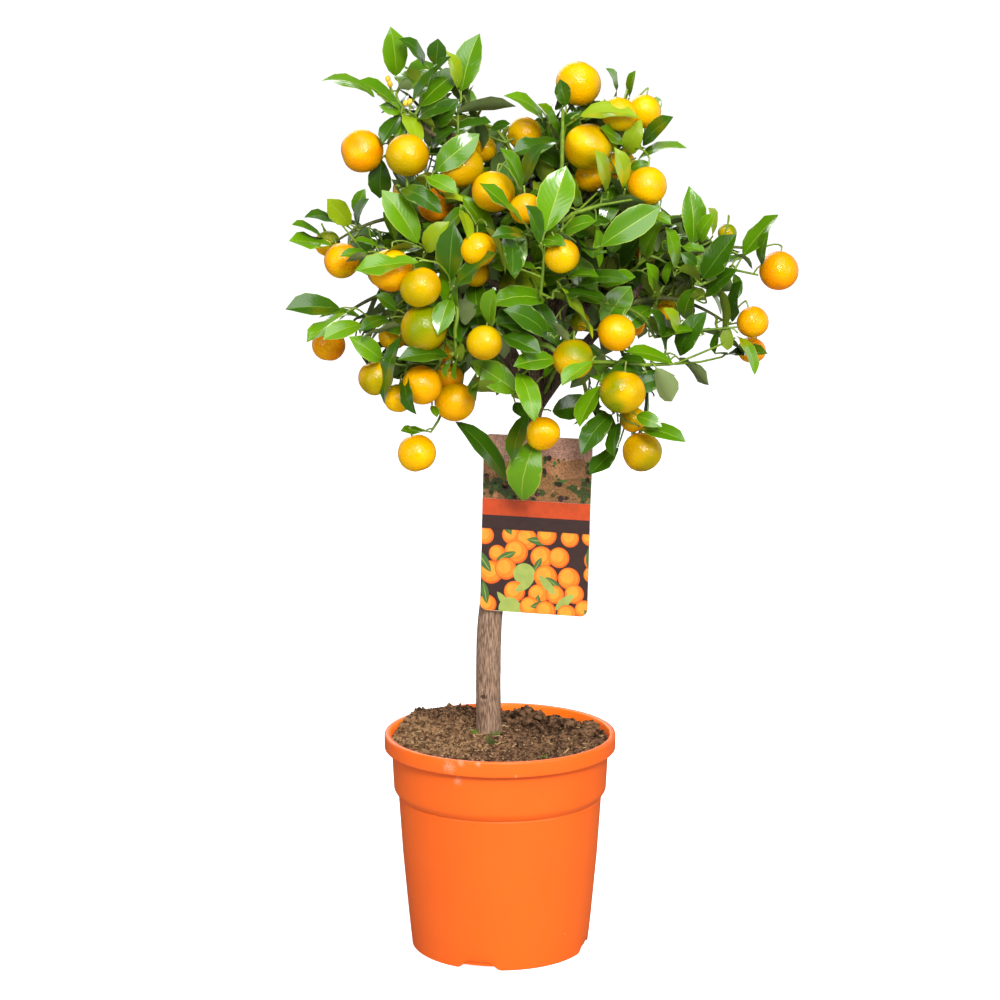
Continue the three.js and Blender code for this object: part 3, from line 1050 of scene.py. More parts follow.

# Each leaf's tint below is read off as it shows in its light: partly its own colour, partly painted shade
# (D) and painted highlight (B).
SEEN_LEAVES = tuple(
    SeenLeaf((x, y), (tip_x, tip_y), *look)
    for x, y, tip_x, tip_y, *look in (
        (397, 77, 393, 30, 25, B), (461, 91, 475, 32, 28, M), (427, 66, 410, 35, 10, D),
        (436, 66, 438, 40, 20, D), (411, 103, 448, 54, 12, D, 1), (418, 106, 459, 66, 24, M),
        (459, 90, 453, 53, 11, L), (377, 94, 326, 68, 12, B), (401, 109, 361, 77, 13, M),
        (398, 88, 413, 82, 12, G), (421, 83, 408, 66, 12, O), (402, 111, 381, 106, 13, B),
        (404, 110, 422, 139, 15, L), (400, 115, 381, 141, 16, D), (404, 118, 397, 140, 12, M),
        (456, 111, 515, 99, 13, G), (433, 126, 454, 100, 22, D), (414, 117, 451, 98, 14, D),
        (421, 119, 437, 126, 8, O), (451, 131, 490, 120, 14, D), (490, 129, 508, 122, 9, D),
        (430, 147, 450, 126, 13, D), (434, 171, 475, 135, 27, M, 1), (425, 176, 456, 190, 15, B),
        (443, 193, 463, 200, 9, L), (419, 243, 385, 188, 28, B, 1), (381, 160, 379, 201, 24, D, -1),
        (399, 186, 440, 203, 18, D), (395, 240, 385, 210, 12, B, -1), (351, 225, 328, 200, 22, L),
        (354, 214, 363, 190, 14, M), (356, 226, 362, 198, 8, D), (340, 223, 311, 208, 8, D),
        (324, 238, 294, 221, 7, M), (333, 245, 290, 239, 12, B), (368, 252, 341, 253, 9, M, 1),
        (367, 256, 343, 259, 9, G, 1), (352, 240, 376, 232, 6, G), (380, 247, 355, 238, 6, M),
        (419, 261, 354, 268, 17, B, 1), (413, 247, 382, 249, 9, O, 1), (424, 252, 443, 222, 20, L),
        (440, 246, 456, 206, 12, M, 1), (449, 282, 452, 225, 28, D, 1), (454, 286, 494, 251, 18, D, 1),
        (461, 208, 472, 236, 10, L, 1), (449, 298, 438, 331, 22, M, 1), (460, 300, 476, 326, 20, G),
        (341, 308, 287, 305, 23, D), (347, 312, 306, 340, 12, B, 1), (362, 323, 324, 335, 18, B, 1),
        (383, 360, 354, 338, 21, B, 1), (391, 318, 362, 322, 12, D), (397, 310, 377, 294, 13, D),
        (400, 325, 361, 335, 7, G), (399, 336, 376, 402, 16, D, 1), (450, 354, 401, 353, 17, D, 1),
        (405, 373, 405, 412, 12, D), (432, 405, 437, 416, 8, M), (425, 431, 401, 430, 7, M),
        (457, 420, 513, 477, 20, D), (447, 342, 468, 360, 16, O), (452, 356, 441, 374, 5, M, 1),
        (457, 358, 454, 380, 5, M, 1), (512, 238, 514, 275, 20, D), (487, 226, 512, 272, 8, O, 1),
        (526, 234, 495, 232, 11, D), (547, 298, 495, 293, 22, M), (489, 327, 491, 290, 15, B),
        (561, 286, 596, 337, 9, L), (565, 300, 549, 289, 9, O), (555, 330, 500, 318, 18, D),
        (550, 335, 515, 305, 22, D), (502, 335, 540, 350, 18, D), (497, 326, 505, 358, 14, G, -1),
        (556, 358, 516, 362, 20, M), (518, 392, 474, 362, 28, B), (519, 370, 538, 414, 22, B),
        (592, 361, 561, 382, 17, B, 1), (568, 341, 553, 321, 11, G), (605, 303, 572, 291, 10, M),
        (565, 278, 596, 270, 8, M), (572, 284, 622, 268, 11, D), (598, 285, 633, 275, 14, M),
        (560, 292, 604, 296, 12, D), (602, 325, 630, 284, 28, M, -1), (622, 331, 651, 303, 22, M, -1),
        (547, 122, 516, 87, 10, B), (560, 137, 542, 102, 9, M), (566, 106, 560, 80, 16, D, 1),
        (560, 140, 577, 113, 18, D), (579, 114, 638, 108, 17, L, 1), (617, 97, 617, 68, 2.5, M),
        (629, 98, 633, 71, 7, M), (658, 112, 656, 96, 10, M, -1), (641, 145, 668, 115, 15, D),
        (636, 158, 683, 139, 9, B), (626, 156, 637, 126, 20, L), (612, 153, 611, 139, 12, L),
        (625, 145, 602, 127, 10, M), (608, 192, 601, 151, 12, L, 1), (625, 189, 621, 150, 13, L, 1),
        (629, 168, 646, 163, 11, M, 1), (545, 232, 566, 166, 36, B, 1), (560, 140, 513, 151, 16, D, 1),
        (522, 184, 537, 143, 14, D), (523, 195, 509, 147, 9, M), (563, 166, 536, 142, 17, D),
        (541, 243, 530, 205, 16, D, 1), (523, 222, 481, 181, 9, M, 1), (562, 232, 592, 218, 14, M),
        (597, 236, 576, 213, 16, O), (603, 240, 623, 223, 12, O), (600, 246, 660, 206, 30, M, 1),
        (612, 222, 580, 217, 10, D), (650, 212, 671, 221, 9, M), (643, 258, 655, 223, 17, B),
        (655, 250, 667, 219, 11, G), (620, 268, 638, 235, 15, D), (545, 245, 562, 244, 6, M, 1),
        (515, 262, 505, 238, 18, D), (694, 245, 693, 188, 24, M), (698, 243, 706, 216, 12, B),
        (713, 236, 712, 208, 8, L), (682, 246, 705, 250, 10, M), (677, 270, 672, 228, 12, B),
        (697, 266, 683, 254, 13, D), (680, 268, 709, 276, 13, O), (706, 300, 692, 290, 14, O),
        (702, 279, 734, 234, 28, D), (704, 296, 732, 268, 16, D), (683, 320, 690, 290, 18, M),
        (676, 356, 697, 315, 22, D), (666, 350, 655, 308, 11, D), (665, 336, 648, 316, 11, O),
        (657, 336, 690, 326, 8, M), (702, 335, 680, 336, 6, M), (680, 338, 675, 308, 8, L),
        (656, 368, 675, 402, 24, G), (678, 358, 711, 384, 10, G), (675, 363, 628, 346, 13, B),
        (612, 366, 643, 356, 9, D), (643, 373, 614, 366, 12, D), (600, 385, 577, 424, 20, B),
        (657, 300, 645, 272, 17, O), (640, 300, 641, 262, 15, D), (655, 292, 652, 265, 9, B),
        (664, 286, 667, 262, 7, B), (724, 328, 720, 281, 9, O), (731, 322, 738, 281, 15, D),
        (728, 326, 726, 352, 14, O), (718, 330, 712, 352, 7, D), (738, 333, 762, 366, 9, B, 1),
        (725, 354, 766, 350, 10, D, 1), (742, 256, 776, 213, 20, M), (760, 266, 763, 233, 10, M),
        (738, 254, 756, 268, 5, G), (735, 272, 741, 296, 9, D), (500, 392, 470, 384, 14, O),
        (515, 402, 524, 417, 14, D), (527, 412, 508, 458, 18, D), (551, 411, 598, 403, 26, D),
        (612, 412, 579, 446, 24, D), (618, 422, 611, 455, 14, D), (618, 447, 590, 473, 17, D),
        (640, 427, 685, 436, 16, M), (636, 415, 661, 424, 16, M), (535, 440, 514, 501, 37, B),
    )
)


@dataclass(frozen=True)
class SeenStem:
    """A bare stem as it is seen: the places that it passes, from its foot to its tip, and its depth.

    sink is in millimetres from the crown's face and radius in millimetres.
    """

    places: tuple[tuple[float, float], ...]
    sink: float = 16
    radius: float = 1.0


SEEN_STEMS = tuple(
    SeenStem(*row)
    for row in (
        (((556, 218), (562, 165), (563, 110)), 8, 1.8), (((560, 150), (566, 126), (580, 117)), 6),
        (((562, 222), (572, 214), (600, 205), (636, 199)),), (((590, 210), (600, 206), (603, 193)),),
        (((560, 232), (576, 213), (597, 193)), 12), (((578, 362), (606, 362), (643, 365), (675, 364)),),
        (((675, 364), (700, 362), (722, 357), (727, 353)),), (((675, 364), (713, 348), (735, 338)),),
        (((655, 337), (690, 331), (738, 327)),), (((700, 285), (735, 270), (758, 275)),),
        (((733, 272), (738, 264), (742, 257)),), (((395, 268), (367, 256), (351, 236), (342, 225)),),
        (((444, 408), (438, 421), (431, 432)),), (((431, 432), (426, 431)),),
        (((455, 300), (452, 292), (451, 284)), 12), (((540, 300), (543, 270), (545, 245)), 12),
        (((455, 330), (456, 345), (455, 356)), 10), (((411, 240), (407, 180), (405, 118)),),
        (((456, 200), (458, 150), (458, 108)), 24), (((519, 330), (524, 350), (519, 371)), 22),
        (((541, 400), (560, 360), (578, 325)), 60), (((690, 320), (692, 285), (688, 250)), 20),
    )
)


# Round patches of open sky, which no leaf of the filling crosses: across, down and radius.
SKY = (
    (491, 417, 19), (565, 412, 14), (551, 389, 9), (516, 350, 7), (586, 335, 6), (350, 290, 12),
    (364, 302, 9), (712, 316, 13), (735, 308, 8), (748, 296, 8), (699, 341, 6), (722, 344, 5),
    (696, 222, 6), (366, 235, 5), (520, 225, 3), (492, 122, 6), (400, 95, 5), (452, 100, 4), (600, 345, 4),
    (655, 352, 4),
)

# The crown's outline, which no leaf of the filling crosses: across and down.
OUTLINE = (
    (385, 90), (388, 45), (403, 42), (412, 62), (428, 60), (450, 55), (470, 45), (480, 60), (474, 88),
    (500, 100), (490, 112), (505, 125), (520, 120), (540, 108), (557, 100), (560, 80), (577, 66),
    (596, 76), (606, 98), (640, 95), (660, 108), (650, 140), (672, 142), (655, 160), (662, 190),
    (668, 215), (690, 200), (705, 225), (715, 240), (735, 238), (750, 232), (768, 222), (765, 248),
    (748, 270), (738, 300), (762, 310), (764, 345), (740, 352), (700, 352), (700, 372), (675, 395),
    (648, 392), (645, 415), (670, 432), (650, 465), (600, 468), (590, 445), (560, 445), (545, 470),
    (520, 492), (505, 470), (470, 432), (460, 420), (430, 408), (395, 405), (372, 390), (362, 355),
    (330, 350), (318, 335), (300, 310), (340, 300), (375, 300), (380, 290), (355, 275), (325, 260),
    (305, 238), (320, 215), (352, 200), (362, 222), (385, 225), (385, 200), (375, 165), (345, 160),
    (350, 138), (382, 138),
)

# The closed buds: across and down.
SEEN_BUDS = ((388, 79), (390, 84), (406, 103), (410, 102))


class Blade(IntEnum):
    """Parts of a leaf's mesh."""

    UPPER = 0
    PALE = 1
    UNDER = 2


@dataclass(frozen=True)
class LeafShape:
    """Form of a leaf of unit length: its share of width, fold along the rib, arch, twist and waviness."""

    SIDES = (-1.0, -0.95, -0.5, -0.03, 0.03, 0.5, 0.95, 1.0)
    SIDES_BELOW = (-1.0, -0.5, 0.0, 0.5, 1.0)
    ROWS = (0.0, 0.06, 0.2, 0.4, 0.62, 0.8, 0.93, 1.0)
    PALE_COLUMNS = (0, 3, 6)

    aspect: float = 0.46
    fold: float = 0.12
    arch: float = 0.12
    twist: float = 0.0
    wave: float = 0.0
    foot_taper: float = 0.8
    tip_taper: float = 0.72
    point: float = 0.35
    thickness: float = 0.007

    def half_width(self, along: float) -> float:
        """Finds the blade's half width.

        Args:
            along: the share of its length.

        Returns:
            From 0 to half the aspect.
        """
        share = min(1.0, max(0.0, along))
        widest = self.foot_taper / (self.foot_taper + self.tip_taper)
        full = widest**self.foot_taper * (1 - widest) ** self.tip_taper
        narrow = 1 - self.point * smooth(0.78, 0.97, share)
        return 0.5 * self.aspect * share**self.foot_taper * (1 - share) ** self.tip_taper / full * narrow

    def place(self, side: float, along: float, drop: float) -> Vector:
        """Finds a point of the blade.

        Args:
            side: from -1 at the left margin to 1 at the right.
            along: from 0 at the stalk to 1 at the tip.
            drop: how far below the upper face the point lies.

        Returns:
            The point.
        """
        half = self.half_width(along)
        x = side * half
        z = self.fold * abs(x) - 0.4 * self.fold * x * x / max(half, 1e-3) - drop
        z -= self.arch * (2 * along - 0.7) ** 2 * 0.6
        z += self.wave * math.sin(along * 9.5 + 0.8 * side) * side * side * half
        cosine, sine = math.cos(self.twist * (along - 0.3)), math.sin(self.twist * (along - 0.3))
        return Vector((x * cosine - z * sine, along, x * sine + z * cosine))

    def stamp(self) -> Stamp:
        """Makes the leaf: blade, rib and margin above and a plain blade below.

        Returns:
            The leaf as a stamp.
        """
        bm = bmesh.new()
        uv = bm.loops.layers.uv.new("leaf")
        self._sheet(bm, uv, self.SIDES, 0.0, False)
        self._sheet(bm, uv, self.SIDES_BELOW, self.thickness, True)
        bmesh.ops.remove_doubles(bm, verts=bm.verts, dist=1e-5)
        bmesh.ops.dissolve_degenerate(bm, dist=1e-6, edges=bm.edges)
        return Stamp.from_bmesh(bm)

    def _sheet(
        self, bm: BMesh, uv: bmesh.types.BMLayerItem, sides: tuple[float, ...], drop: float, below: bool
    ) -> None:
        """Adds one face of the leaf as a grid that is drawn to its outline.

        Args:
            bm: the leaf's mesh.
            uv: its map.
            sides: where the grid's columns lie across the blade.
            drop: how far the sheet's middle lies below the upper face.
            below: whether this is the underside.
        """
        old = {*bm.verts, *bm.faces}
        columns, steps = len(sides) - 1, len(self.ROWS) - 1
        bmesh.ops.create_grid(bm, x_segments=columns, y_segments=steps, size=0.5)
        for face in [f for f in bm.faces if f not in old]:
            column = int((face.calc_center_median().x + 0.5) * columns)
            upper = Blade.PALE if column in self.PALE_COLUMNS else Blade.UPPER
            face.material_index = Blade.UNDER if below else upper
            for loop in face.loops:
                column = round((loop.vert.co.x + 0.5) * columns)
                loop[uv].uv = (0.5 + 0.5 * sides[column], self.ROWS[round((loop.vert.co.y + 0.5) * steps)])
            if below:
                face.normal_flip()
        for vert in [v for v in bm.verts if v not in old]:
            side = sides[round((vert.co.x + 0.5) * columns)]
            along = self.ROWS[round((vert.co.y + 0.5) * steps)]
            inset = drop * (1 - abs(side) ** 3) if 0 < along < 1 else 0.0
            vert.co = self.place(side, along, inset)


LEAF_SHAPES = (
    LeafShape(fold=0.26, arch=0.14, wave=0.08),
    LeafShape(fold=0.42, arch=0.18, twist=0.25, wave=0.10, tip_taper=0.8),
    LeafShape(fold=0.16, arch=0.28, twist=-0.2, wave=0.16, point=0.25),
    LeafShape(fold=0.55, arch=0.10, twist=-0.3, wave=0.08, foot_taper=0.9),
    LeafShape(fold=0.34, arch=0.06, twist=0.4, wave=0.22, tip_taper=0.66, point=0.4),
)


@dataclass
class Leaves:
    """Sets leaves down one at a time into a few joined pieces of no more than the limit."""

    limit: int = 1200
    sharp: float = math.radians(75)
    count: int = 0

    def __post_init__(self) -> None:
        """Prepares the leaf shapes and the tints' materials."""
        self.stamps = [shape.stamp() for shape in LEAF_SHAPES]
        finishes: dict[Tint | str, LeafFinish] = {}
        for tint in Tint:
            dull = tint in (Tint.GREY, Tint.OLIVE)
            look = {"roughness": 0.55, "coat": 0.0} if dull else {"roughness": 0.3, "coat": 1.0}
            finishes[tint] = LeafFinish("leaf_" + tint.name.lower(), tint.value, **look)
        finishes["pale rib"] = LeafFinish("leaf_rib_pale", (146, 172, 56), 0.4, vein_depth=0.0)
        finishes["green rib"] = LeafFinish("leaf_rib_green", (92, 130, 36), 0.4, vein_depth=0.0)
        finishes["grey under"] = LeafFinish("leaf_under_grey", (104, 126, 66), 0.6, 0.25)
        finishes["lime under"] = LeafFinish("leaf_under_lime", (132, 150, 44), 0.6, 0.25)
        self.materials = [finish.material() for finish in finishes.values()]
        self.slot_of = {key: slot for slot, key in enumerate(finishes)}
        self.sheets = [Joined("leaves_0", self.materials)]

    def add(
        self, base: Array, axis: Array, normal: Array, length: float, width: float, tint: Tint, shape: int,
    ) -> None:
        """Sets one leaf down.

        Args:
            base: where its blade starts.
            axis: the unit direction from there to its tip.
            normal: the unit direction that its upper face looks in, square to the axis.
            length: the blade's length.
            width: the blade's width.
            tint: the colour of its upper face, or of its underside for a leaf that shows that.
            shape: the number of its shape.
        """
        stamp = self.stamps[shape]
        sideways = np.cross(axis, normal)
        scaled = stamp.corners * np.array((width / LeafShape.aspect, length, length))
        corners = base + scaled @ np.stack((sideways, axis, normal))
        # BRIGHT counts as young here, though on the seen leaves it is partly painted highlight.
        young = tint in (Tint.LIME, Tint.BRIGHT, Tint.OLIVE)
        upper, under = tint, "lime under" if young else "grey under"
        if tint in (Tint.GREY, Tint.OLIVE):
            upper, under = Tint.DEEP if tint is Tint.GREY else Tint.MID, tint
        parts = (upper, "pale rib" if young or tint is Tint.MID else "green rib", under)
        self.sheets[-1].add(stamp, corners, {role: self.slot_of[part] for role, part in enumerate(parts)})
        self.count += 1
        if self.count % self.limit == 0:
            self.sheets.append(Joined(f"leaves_{len(self.sheets)}", self.materials))

    def build(self) -> list[Object]:
        """Returns the joined leaf pieces."""
        return [sheet.build(self.sharp) for sheet in self.sheets if sheet.parts]


@dataclass
class Twigs:
    """Wood that grows by a rule: each new tip is reached from the nearest point that leads outwards.

    trunk_bare and bough_bare are the shares of a limb that carry no twig; joining is the power by which
    the sections of joined twigs add up; least holds the least radius of a twig by its number.
    """

    limbs: list[Limb]
    heart: Array
    rng: random.Random
    trunk_bare: float = 0.93
    bough_bare: float = 0.25
    step: float = 0.008
    shake: float = 0.015
    tip_radius: float = 0.0008
    green_radius: float = 0.0021
    largest: float = 0.0034
    joining: float = 2.5
    swelling: float = 1.012
    points: list[Array] = field(default_factory=list)
    tangents: list[Array] = field(default_factory=list)
    parents: list[int] = field(default_factory=list)
    paths: list[list[int]] = field(default_factory=list)
    least: dict[int, float] = field(default_factory=dict)

    def __post_init__(self) -> None:
        """Starts the wood from the bare limbs."""
        for limb in self.limbs:
            tangents = np.gradient(limb.line, axis=0)
            first = self.trunk_bare if limb.name == "trunk" else self.bough_bare
            for i in range(int(first * len(limb.line)), len(limb.line)):
                self.extend(limb.line[i], tangents[i], -1)
        self.wood = len(self.points)

    def extend(self, point: Array, tangent: Array, parent: int) -> int:
        """Adds a point of wood.

        Args:
            point: where it lies.
            tangent: the way that the wood runs there.
            parent: the number of the point that it grows from, or -1.

        Returns:
            Its number.
        """
        self.points.append(point)
        self.tangents.append(unit(tangent))
        self.parents.append(parent)
        return len(self.points) - 1

    def undo(self) -> None:
        """Takes the last twig away again."""
        path = self.paths.pop()
        for grown in (self.points, self.tangents, self.parents):
            del grown[path[1] :]

    def grow(self, target: Array, toward: Array | None = None) -> list[int]:
        """Grows a twig to a target.

        Args:
            target: the point where the twig ends.
            toward: the direction in which it should arrive, or None.

        Returns:
            The numbers of the twig's points, from the one that it leaves to its tip.
        """
        cloud = np.array(self.points)
        offset = target - cloud
        distance = np.linalg.norm(offset, axis=1)
        outward = unit(target - self.heart)
        leaning = (offset @ outward) / np.maximum(distance, 1e-6)
        cost = distance * (1.35 - 0.5 * leaning) + 0.012 * (distance < 0.004)
        start = int(np.argmin(cost))
        gap = float(distance[start])
        steps = max(2, math.ceil(gap / self.step))
        lead = self.tangents[start] * 0.3 + unit(offset[start]) * 0.25 + UP * 0.06
        bend = self.points[start] + lead * gap
        if toward is not None:
            bend = 0.5 * bend + 0.5 * (target - toward * gap * 0.45)
        line = bezier(self.points[start], bend, target, steps)
        shake = self.shake * gap
        for i in range(1, steps):
            line[i] += np.array([self.rng.uniform(-shake, shake) for _ in range(3)])
        path = [start]
        for i in range(1, steps + 1):
            path.append(self.extend(line[i], line[i] - line[i - 1], path[-1]))
        self.paths.append(path)
        return path

    def follow(self, line: list[Array], radius: float) -> None:
        """Grows a twig to the start of a line and on along it.

        Args:
            line: the points that it passes.
            radius: its least radius there.
        """
        path = self.grow(line[0])
        self.least[len(self.paths) - 1] = radius
        for start, end in zip(line, line[1:]):
            steps = max(1, math.ceil(float(np.linalg.norm(end - start)) / self.step))
            for i in range(1, steps + 1):
                path.append(self.extend(start + (end - start) * i / steps, end - start, path[-1]))

    def radii(self) -> Array:
        """Sizes the wood: a point carries the joined sections of what grows from it.

        Returns:
            The radius at each point.
        """
        load = np.zeros(len(self.points))
        for i in range(len(self.points) - 1, self.wood - 1, -1):
            if load[i] == 0:
                load[i] = self.tip_radius**self.joining
            parent = self.parents[i]
            if parent >= self.wood:
                load[parent] += load[i] * self.swelling
        sizes = np.maximum(load, self.tip_radius**self.joining) ** (1 / self.joining)
        return np.minimum(sizes, self.largest)

    def add_to(self, tubes: Tubes) -> None:
        """Draws every twig, brown where it is thick and green where it is thin.

        Args:
            tubes: the stems that take them.
        """
        radii = self.radii()
        for order, path in enumerate(self.paths):
            points = np.array([self.points[i] for i in path])
            sizes = np.maximum(radii[path], self.least.get(order, 0.0) * np.linspace(1.15, 0.85, len(path)))
            sizes[0] = sizes[1] * 1.15
            slot = 0 if float(radii[path[1]]) > self.green_radius and order not in self.least else 1
            tubes.add(points, sizes, slot)


@dataclass
class Spread:
    """What the seen pieces cover: the depth of the nearest one in each cell of the front view."""

    cell: float = 3.0
    cells: int = 334
    empty: float = 1e9
    clearance: float = 0.002

    def __post_init__(self) -> None:
        """Empties every cell."""
        self.depth = np.full((self.cells, self.cells), self.empty)

    def cover(self, seen: Array) -> None:
        """Marks the cells of seen points with their depths.

        Args:
            seen: across, down and depth, one point a row.
        """
        for across_at, down_at, depth in seen:
            i, j = int(down_at / self.cell), int(across_at / self.cell)
            if 0 <= i < self.cells and 0 <= j < self.cells:
                self.depth[i, j] = min(self.depth[i, j], depth)

    def hides(self, seen: Array) -> bool:
        """Tests seen points against what the cells hold.

        Args:
            seen: across, down and depth, one point a row.

        Returns:
            Whether any of them lies in front of it.
        """
        columns = np.clip((seen[:, 0] / self.cell).astype(int), 0, self.cells - 1)
        rows = np.clip((seen[:, 1] / self.cell).astype(int), 0, self.cells - 1)
        held = self.depth[rows, columns]
        return bool(np.any((held < self.empty) & (seen[:, 2] < held + self.clearance)))


@dataclass
class Fruit:
    """A fruit that has been placed: its centre, radius, stalk direction and colour."""

    centre: Array
    radius: float
    stalk: Array
    flush: float
    ripeness: float
    green: Array


@dataclass
class Crown:
    """Leaves, twigs, fruit and buds, grown on from the boughs and open where the sky shows.

    layer_sink is how far behind the crown's face a leaf of each layer starts. A lift is how far a leaf's
    tip comes forward of its base, as a share of most_lift. tint_shares holds the chances of a filling
    shoot's tints, added up.
    """

    view: FrontView
    limbs: list[Limb]
    heart_at: tuple[float, float, float] = (0.025, 0.01, 0.60)
    leaf_length: Pair = (0.046, 0.058)
    leaf_aspect: Pair = (0.42, 0.52)
    leaf_roll: float = 0.4
    leaf_stalk: float = 0.007
    crowded: float = 0.0105
    seen_aspect: float = 0.5
    seen_stalk: float = 0.006
    small_leaf: float = 0.024
    widest_leaf: float = 0.027
    most_lift: float = 0.030
    small_lift: float = 0.45
    large_lift: float = 0.8
    back_lift: float = -0.4
    clearance: float = 0.004
    layer_sink: tuple[Pair, ...] = ((1, 0.010), (0, 0.018), (-1, 0.034))
    miss_cost: float = 0.25
    overhang: float = 0.012
    lowest: float = 0.40
    fill_gap: float = 0.019
    fill_tries: int = 90000
    leafy_reach: float = 0.08
    most_leaves: int = 9
    leaf_gap: Pair = (0.008, 0.012)
    spiral: float = 2.4
    tint_shares: tuple[tuple[float, Tint], ...] = (
        (0.5, Tint.DEEP), (0.8, Tint.MID), (0.95, Tint.BRIGHT), (1.0, Tint.LIME),
    )
    fruit_stalk: float = 0.008
    bud_radius: float = 0.0024
    side_radius: Pair = (0.0148, 0.0185)
    side_tries: int = 7
    side_depth: float = 0.035
    side_gap: float = 0.047
    fruits: list[Fruit] = field(default_factory=list)
    petioles: list[tuple[Array, Array]] = field(default_factory=list)
    shoots: list[tuple[Array, Array]] = field(default_factory=list)
    middles: list[Array] = field(default_factory=list)

    def __post_init__(self) -> None:
        """Prepares the empty crown."""
        self.rng = random.Random(SEED)
        self.heart = np.array(self.heart_at)
        self.twigs = Twigs(self.limbs, self.heart, self.rng)
        self.leaves = Leaves()
        self.spread = Spread()
        self.centres = np.array([mass.centre() for mass in MASSES])
        self.halves = np.array([mass.half() for mass in MASSES])
        reach = Vector((self.overhang,) * 3)
        self.box = np.array((Vector(CAD_BOX[0]) - reach, Vector(CAD_BOX[1]) + reach))
        self.box[0][2] = self.lowest

    def face_point(self, place: Pair, sink: float) -> Array:
        """Finds the point on the crown's face behind a seen place.

        Args:
            place: the seen place.
            sink: how far behind the face the point lies, in metres.

        Returns:
            The point, at the middle depth of the nearest mass where none lies behind the place.
        """
        eye = self.view.eye()
        ray = self.view.ray(place)
        offset = (eye - self.centres) / self.halves
        slope = ray / self.halves
        a = (slope * slope).sum(axis=1)
        b = (offset * slope).sum(axis=1)
        middle = -b / a
        miss = np.sqrt(np.maximum((offset * offset).sum(axis=1) - b * b / a, 0))
        front = middle - np.sqrt(np.maximum(1 - miss * miss, 0) / a)
        chosen = int(np.argmin(front + self.miss_cost * np.maximum(miss - 1, 0)))
        return eye + ray * (float(front[chosen]) + sink / float(np.linalg.norm(ray)))

    def green_side(self) -> tuple[float, float, float]:
        """Returns a direction in which a fruit is greenest."""
        return (self.rng.gauss(0, 1), self.rng.gauss(0, 0.5), 0.8)

    def place_seen_fruit(self) -> None:
        """Hangs the seen fruit at the crown's face."""
        for fruit in SEEN_FRUIT:
            centre = self.face_point(fruit.place, fruit.sink * MM)
            radius = self.view.metres(fruit.radius, float(centre[1]))
            lean = (self.rng.uniform(-0.45, 0.45), self.rng.uniform(0.0, 0.6), 1.0)
            green = direction(*(fruit.green or self.green_side()))
            stalk = direction(*(fruit.stalk or lean))
            self.fruits.append(Fruit(centre, radius, stalk, fruit.flush, fruit.ripeness, green))
            for share in (0.0, 0.3, 0.6, 0.85):
                front = centre - radius * math.sqrt(1 - share * share) * np.array((0, 1, 0))
                self.spread.cover(self.view.seen(front + radius * share * turned_ring(25)[:-1]))

    def fruit_front(self, points: Array) -> Array:
        """Returns, for each point, how far it lies behind the face of the nearest seen fruit.

        Args:
            points: the points, one a row.

        Returns:
            The distance in metres, or -1 where no fruit is seen at the point.
        """
        seen = self.view.seen(points)
        result = np.full(len(points), -1.0)
        for fruit in self.fruits:
            middle = self.view.seen(fruit.centre[None])[0]
            seen_radius = fruit.radius / self.view.metres(1.0, float(fruit.centre[1]))
            away = np.hypot(seen[:, 0] - middle[0], seen[:, 1] - middle[1]) / seen_radius
            inside = away < 1.0
            face = middle[2] - fruit.radius * np.sqrt(np.clip(1 - away**2, 0, 1))
            result = np.where(inside, np.maximum(result, seen[:, 2] - face), result)
        return result

    @staticmethod
    def blade_points(base: Array, reach: Array, sideways: Array, shares: int, sides: int) -> Array:
        """Spreads points over a leaf's blade.

        Args:
            base: where the blade starts.
            reach: from there to its tip.
            sideways: across half its width.
            shares: how many rows of points it has along.
            sides: how many points it has across.

        Returns:
            The points, one a row.
        """
        along = np.linspace(0, 1, shares)[:, None, None]
        half = np.abs(np.sin(math.pi * along)) ** 0.8
        return (base + reach * along + sideways * half * np.linspace(-1, 1, sides)[:, None]).reshape(-1, 3)

    def place_seen_leaf(self, leaf: SeenLeaf, order: int) -> None:
        """Places one seen leaf.

        Args:
            leaf: the leaf as it is seen.
            order: its number, which picks its shape.
        """
        sink = dict(self.layer_sink)[leaf.over]
        base = self.face_point(leaf.base, sink)
        flat_tip = self.view.at_depth(leaf.tip, float(base[1]))
        seen_length = float(np.linalg.norm(flat_tip - base))
        natural = self.rng.uniform(*self.leaf_length)
        lift = math.sqrt(max(0.0, natural**2 - seen_length**2))
        share = self.small_lift if seen_length < self.small_leaf else self.large_lift
        lift = min(lift, self.most_lift * share)
        if leaf.over < 0:
            lift *= self.back_lift
        tip = self.view.at_depth(leaf.tip, float(base[1]) - lift)
        if leaf.over > 0:
            samples = base + np.linspace(0, 1, 9)[:, None] * (tip - base)
            behind = float(np.max(self.fruit_front(samples)))
            if behind > -0.5:
                shift = max(0.0, behind + self.clearance)
                base = self.view.at_depth(leaf.base, float(base[1]) - shift)
                tip = self.view.at_depth(leaf.tip, float(tip[1]) - shift)
        axis = unit(tip - base)
        length = float(np.linalg.norm(tip - base))
        seen_width = self.view.metres(leaf.width, float(base[1]))
        true_width = max(seen_width * 1.04, min(length * self.seen_aspect, self.widest_leaf))
        to_eye = across(axis, self.view.eye() - base)
        sideways = np.cross(axis, to_eye)
        if sideways[2] < 0:
            sideways = -sideways
        roll = math.acos(min(1.0, seen_width / true_width))
        under_shows = leaf.tint in (Tint.OLIVE, Tint.GREY)
        normal = (-1 if under_shows else 1) * math.cos(roll) * to_eye + math.sin(roll) * sideways
        self.leaves.add(base, axis, unit(normal), length, true_width, leaf.tint, order % len(LEAF_SHAPES))
        stalk_start = base - axis * self.seen_stalk + (self.heart - base) * 0.02
        self.shoots.append((stalk_start, axis))
        self.petioles.append((stalk_start, base))
        self.middles.append(base + axis * length * 0.5)
        half = np.cross(axis, normal) * true_width / 2
        self.spread.cover(self.view.seen(self.blade_points(base, axis * length, half, 12, 7)))

